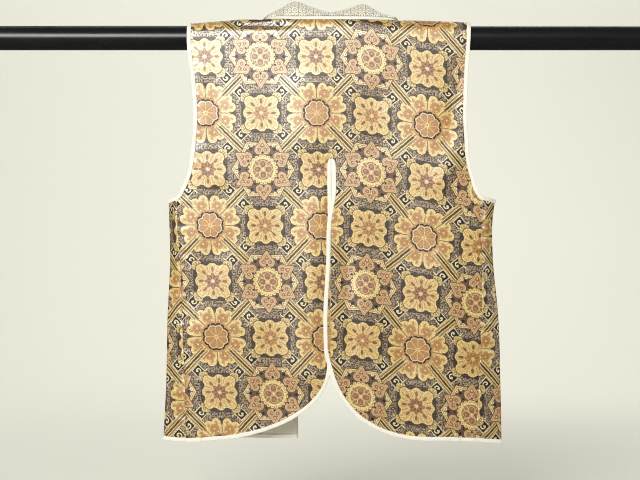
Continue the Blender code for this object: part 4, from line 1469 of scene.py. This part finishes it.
def make_camera():
    """The photo's view: level, straight at the garment's back, 1.27 m wide at the cloth."""
    data = bpy.data.cameras.new("camera")
    data.lens = CAMERA_LENS
    data.sensor_width = 36.0
    data.clip_end = 100.0
    camera = bpy.data.objects.new("camera", data)
    scene = bpy.context.scene
    scene.collection.objects.link(camera)
    camera.location = CAMERA_PLACE
    camera.rotation_euler = (PI / 2, 0.0, 0.0)
    scene.camera = camera
    scene.view_settings.view_transform = "Standard"
    scene.cycles.filter_width = 1.0


def settle(piece, slot, *nodes):
    """Makes a piece ride with the garment and hides the CAD nodes that it stands for; its slot is not
    used.
    """
    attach(piece, "root")
    if nodes:
        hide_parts(*nodes)
    return piece


def main():
    """Builds the whole dressed garment around the CAD frame."""
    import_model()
    make_stage()
    make_world()
    for row in LIGHTS:
        soft_light(*row)
    make_camera()

    weave = weave_group()
    gold = gold_brocade(brocade_group(), weave)
    lining = plain_cloth("lining silk", weave, tone(236, 230, 212), 0.55, 2200.0, 0.3, 0.14)
    white = plain_cloth("white tape", weave, tone(252, 249, 238), 0.6, 1500.0, 0.25, 0.10)
    thread = plain_cloth("white thread", weave, tone(246, 240, 222), 0.6, 3000.0, 0.2, 0.06)
    collar_white = white_brocade(weave, scroll_group())

    backs = {side: back_half(side) for side in SIDES}
    join_middle(backs["left"], backs["right"])
    fronts = {side: make_front(side) for side in SIDES}
    gussets = {side: make_gusset(side, backs[side], fronts[side]) for side in SIDES}
    for side in SIDES:
        share_normals(backs[side].normals[SEAM_ROW:, -1], gussets[side].normals[:, 0])
        share_normals(fronts[side].normals[SEAM_ROW:, 0], gussets[side].normals[:, -1])

    rod = settle(make_rod(black_gloss()), "black_gloss", "rod")
    trims = {"back": [], "left": [], "right": []}
    for side, top in (("left", -1), ("right", 0)):
        parts = (side, backs[side], fronts[side], gussets[side])
        for edge, line, closed, rounded, holder in (
                ("armhole", armhole_line(*parts), True, None, side),
                ("hem", hem_line(*parts), False, top, "back")):
            bound = make_tape(f"{edge}_binding_{side}", *line, closed, white, rounded)
            settle(bound, "white_tape", f"{edge}_tape_{side}")
            sewn = make_stitches(f"{edge}_stitches_{side}", *line, closed, thread)
            trims[holder] += [bound, settle(sewn, "white_tape")]

    path, normals, rows = neck_line(backs, fronts)
    roll = settle(make_roll(path, normals, white), "white_tape", "neck_piping")
    trims["back"].append(roll)
    collar = shell("collar_band", [collar_cloth(path, normals, rows)], COLLAR, collar_white, collar_white)
    settle(collar, "white_brocade", "collar")

    back = shell("back_cloth", [backs["left"], backs["right"]], BROCADE, gold, lining)
    settle(back, "gold_brocade", "back")
    for side, front in fronts.items():
        piece = shell("front_cloth_" + side, [front], BROCADE, gold, lining)
        settle(piece, "gold_brocade", "front_" + side)
        strip = shell("gusset_cloth_" + side, [gussets[side]], BROCADE, gold, lining)
        settle(strip, "gold_brocade", "gusset_" + side)
    inside = shell("lining_cloth_left", [lining_cloth(fronts["left"])], LINING, lining, lining)
    settle(inside, "lining", "lining_front_left")


main()
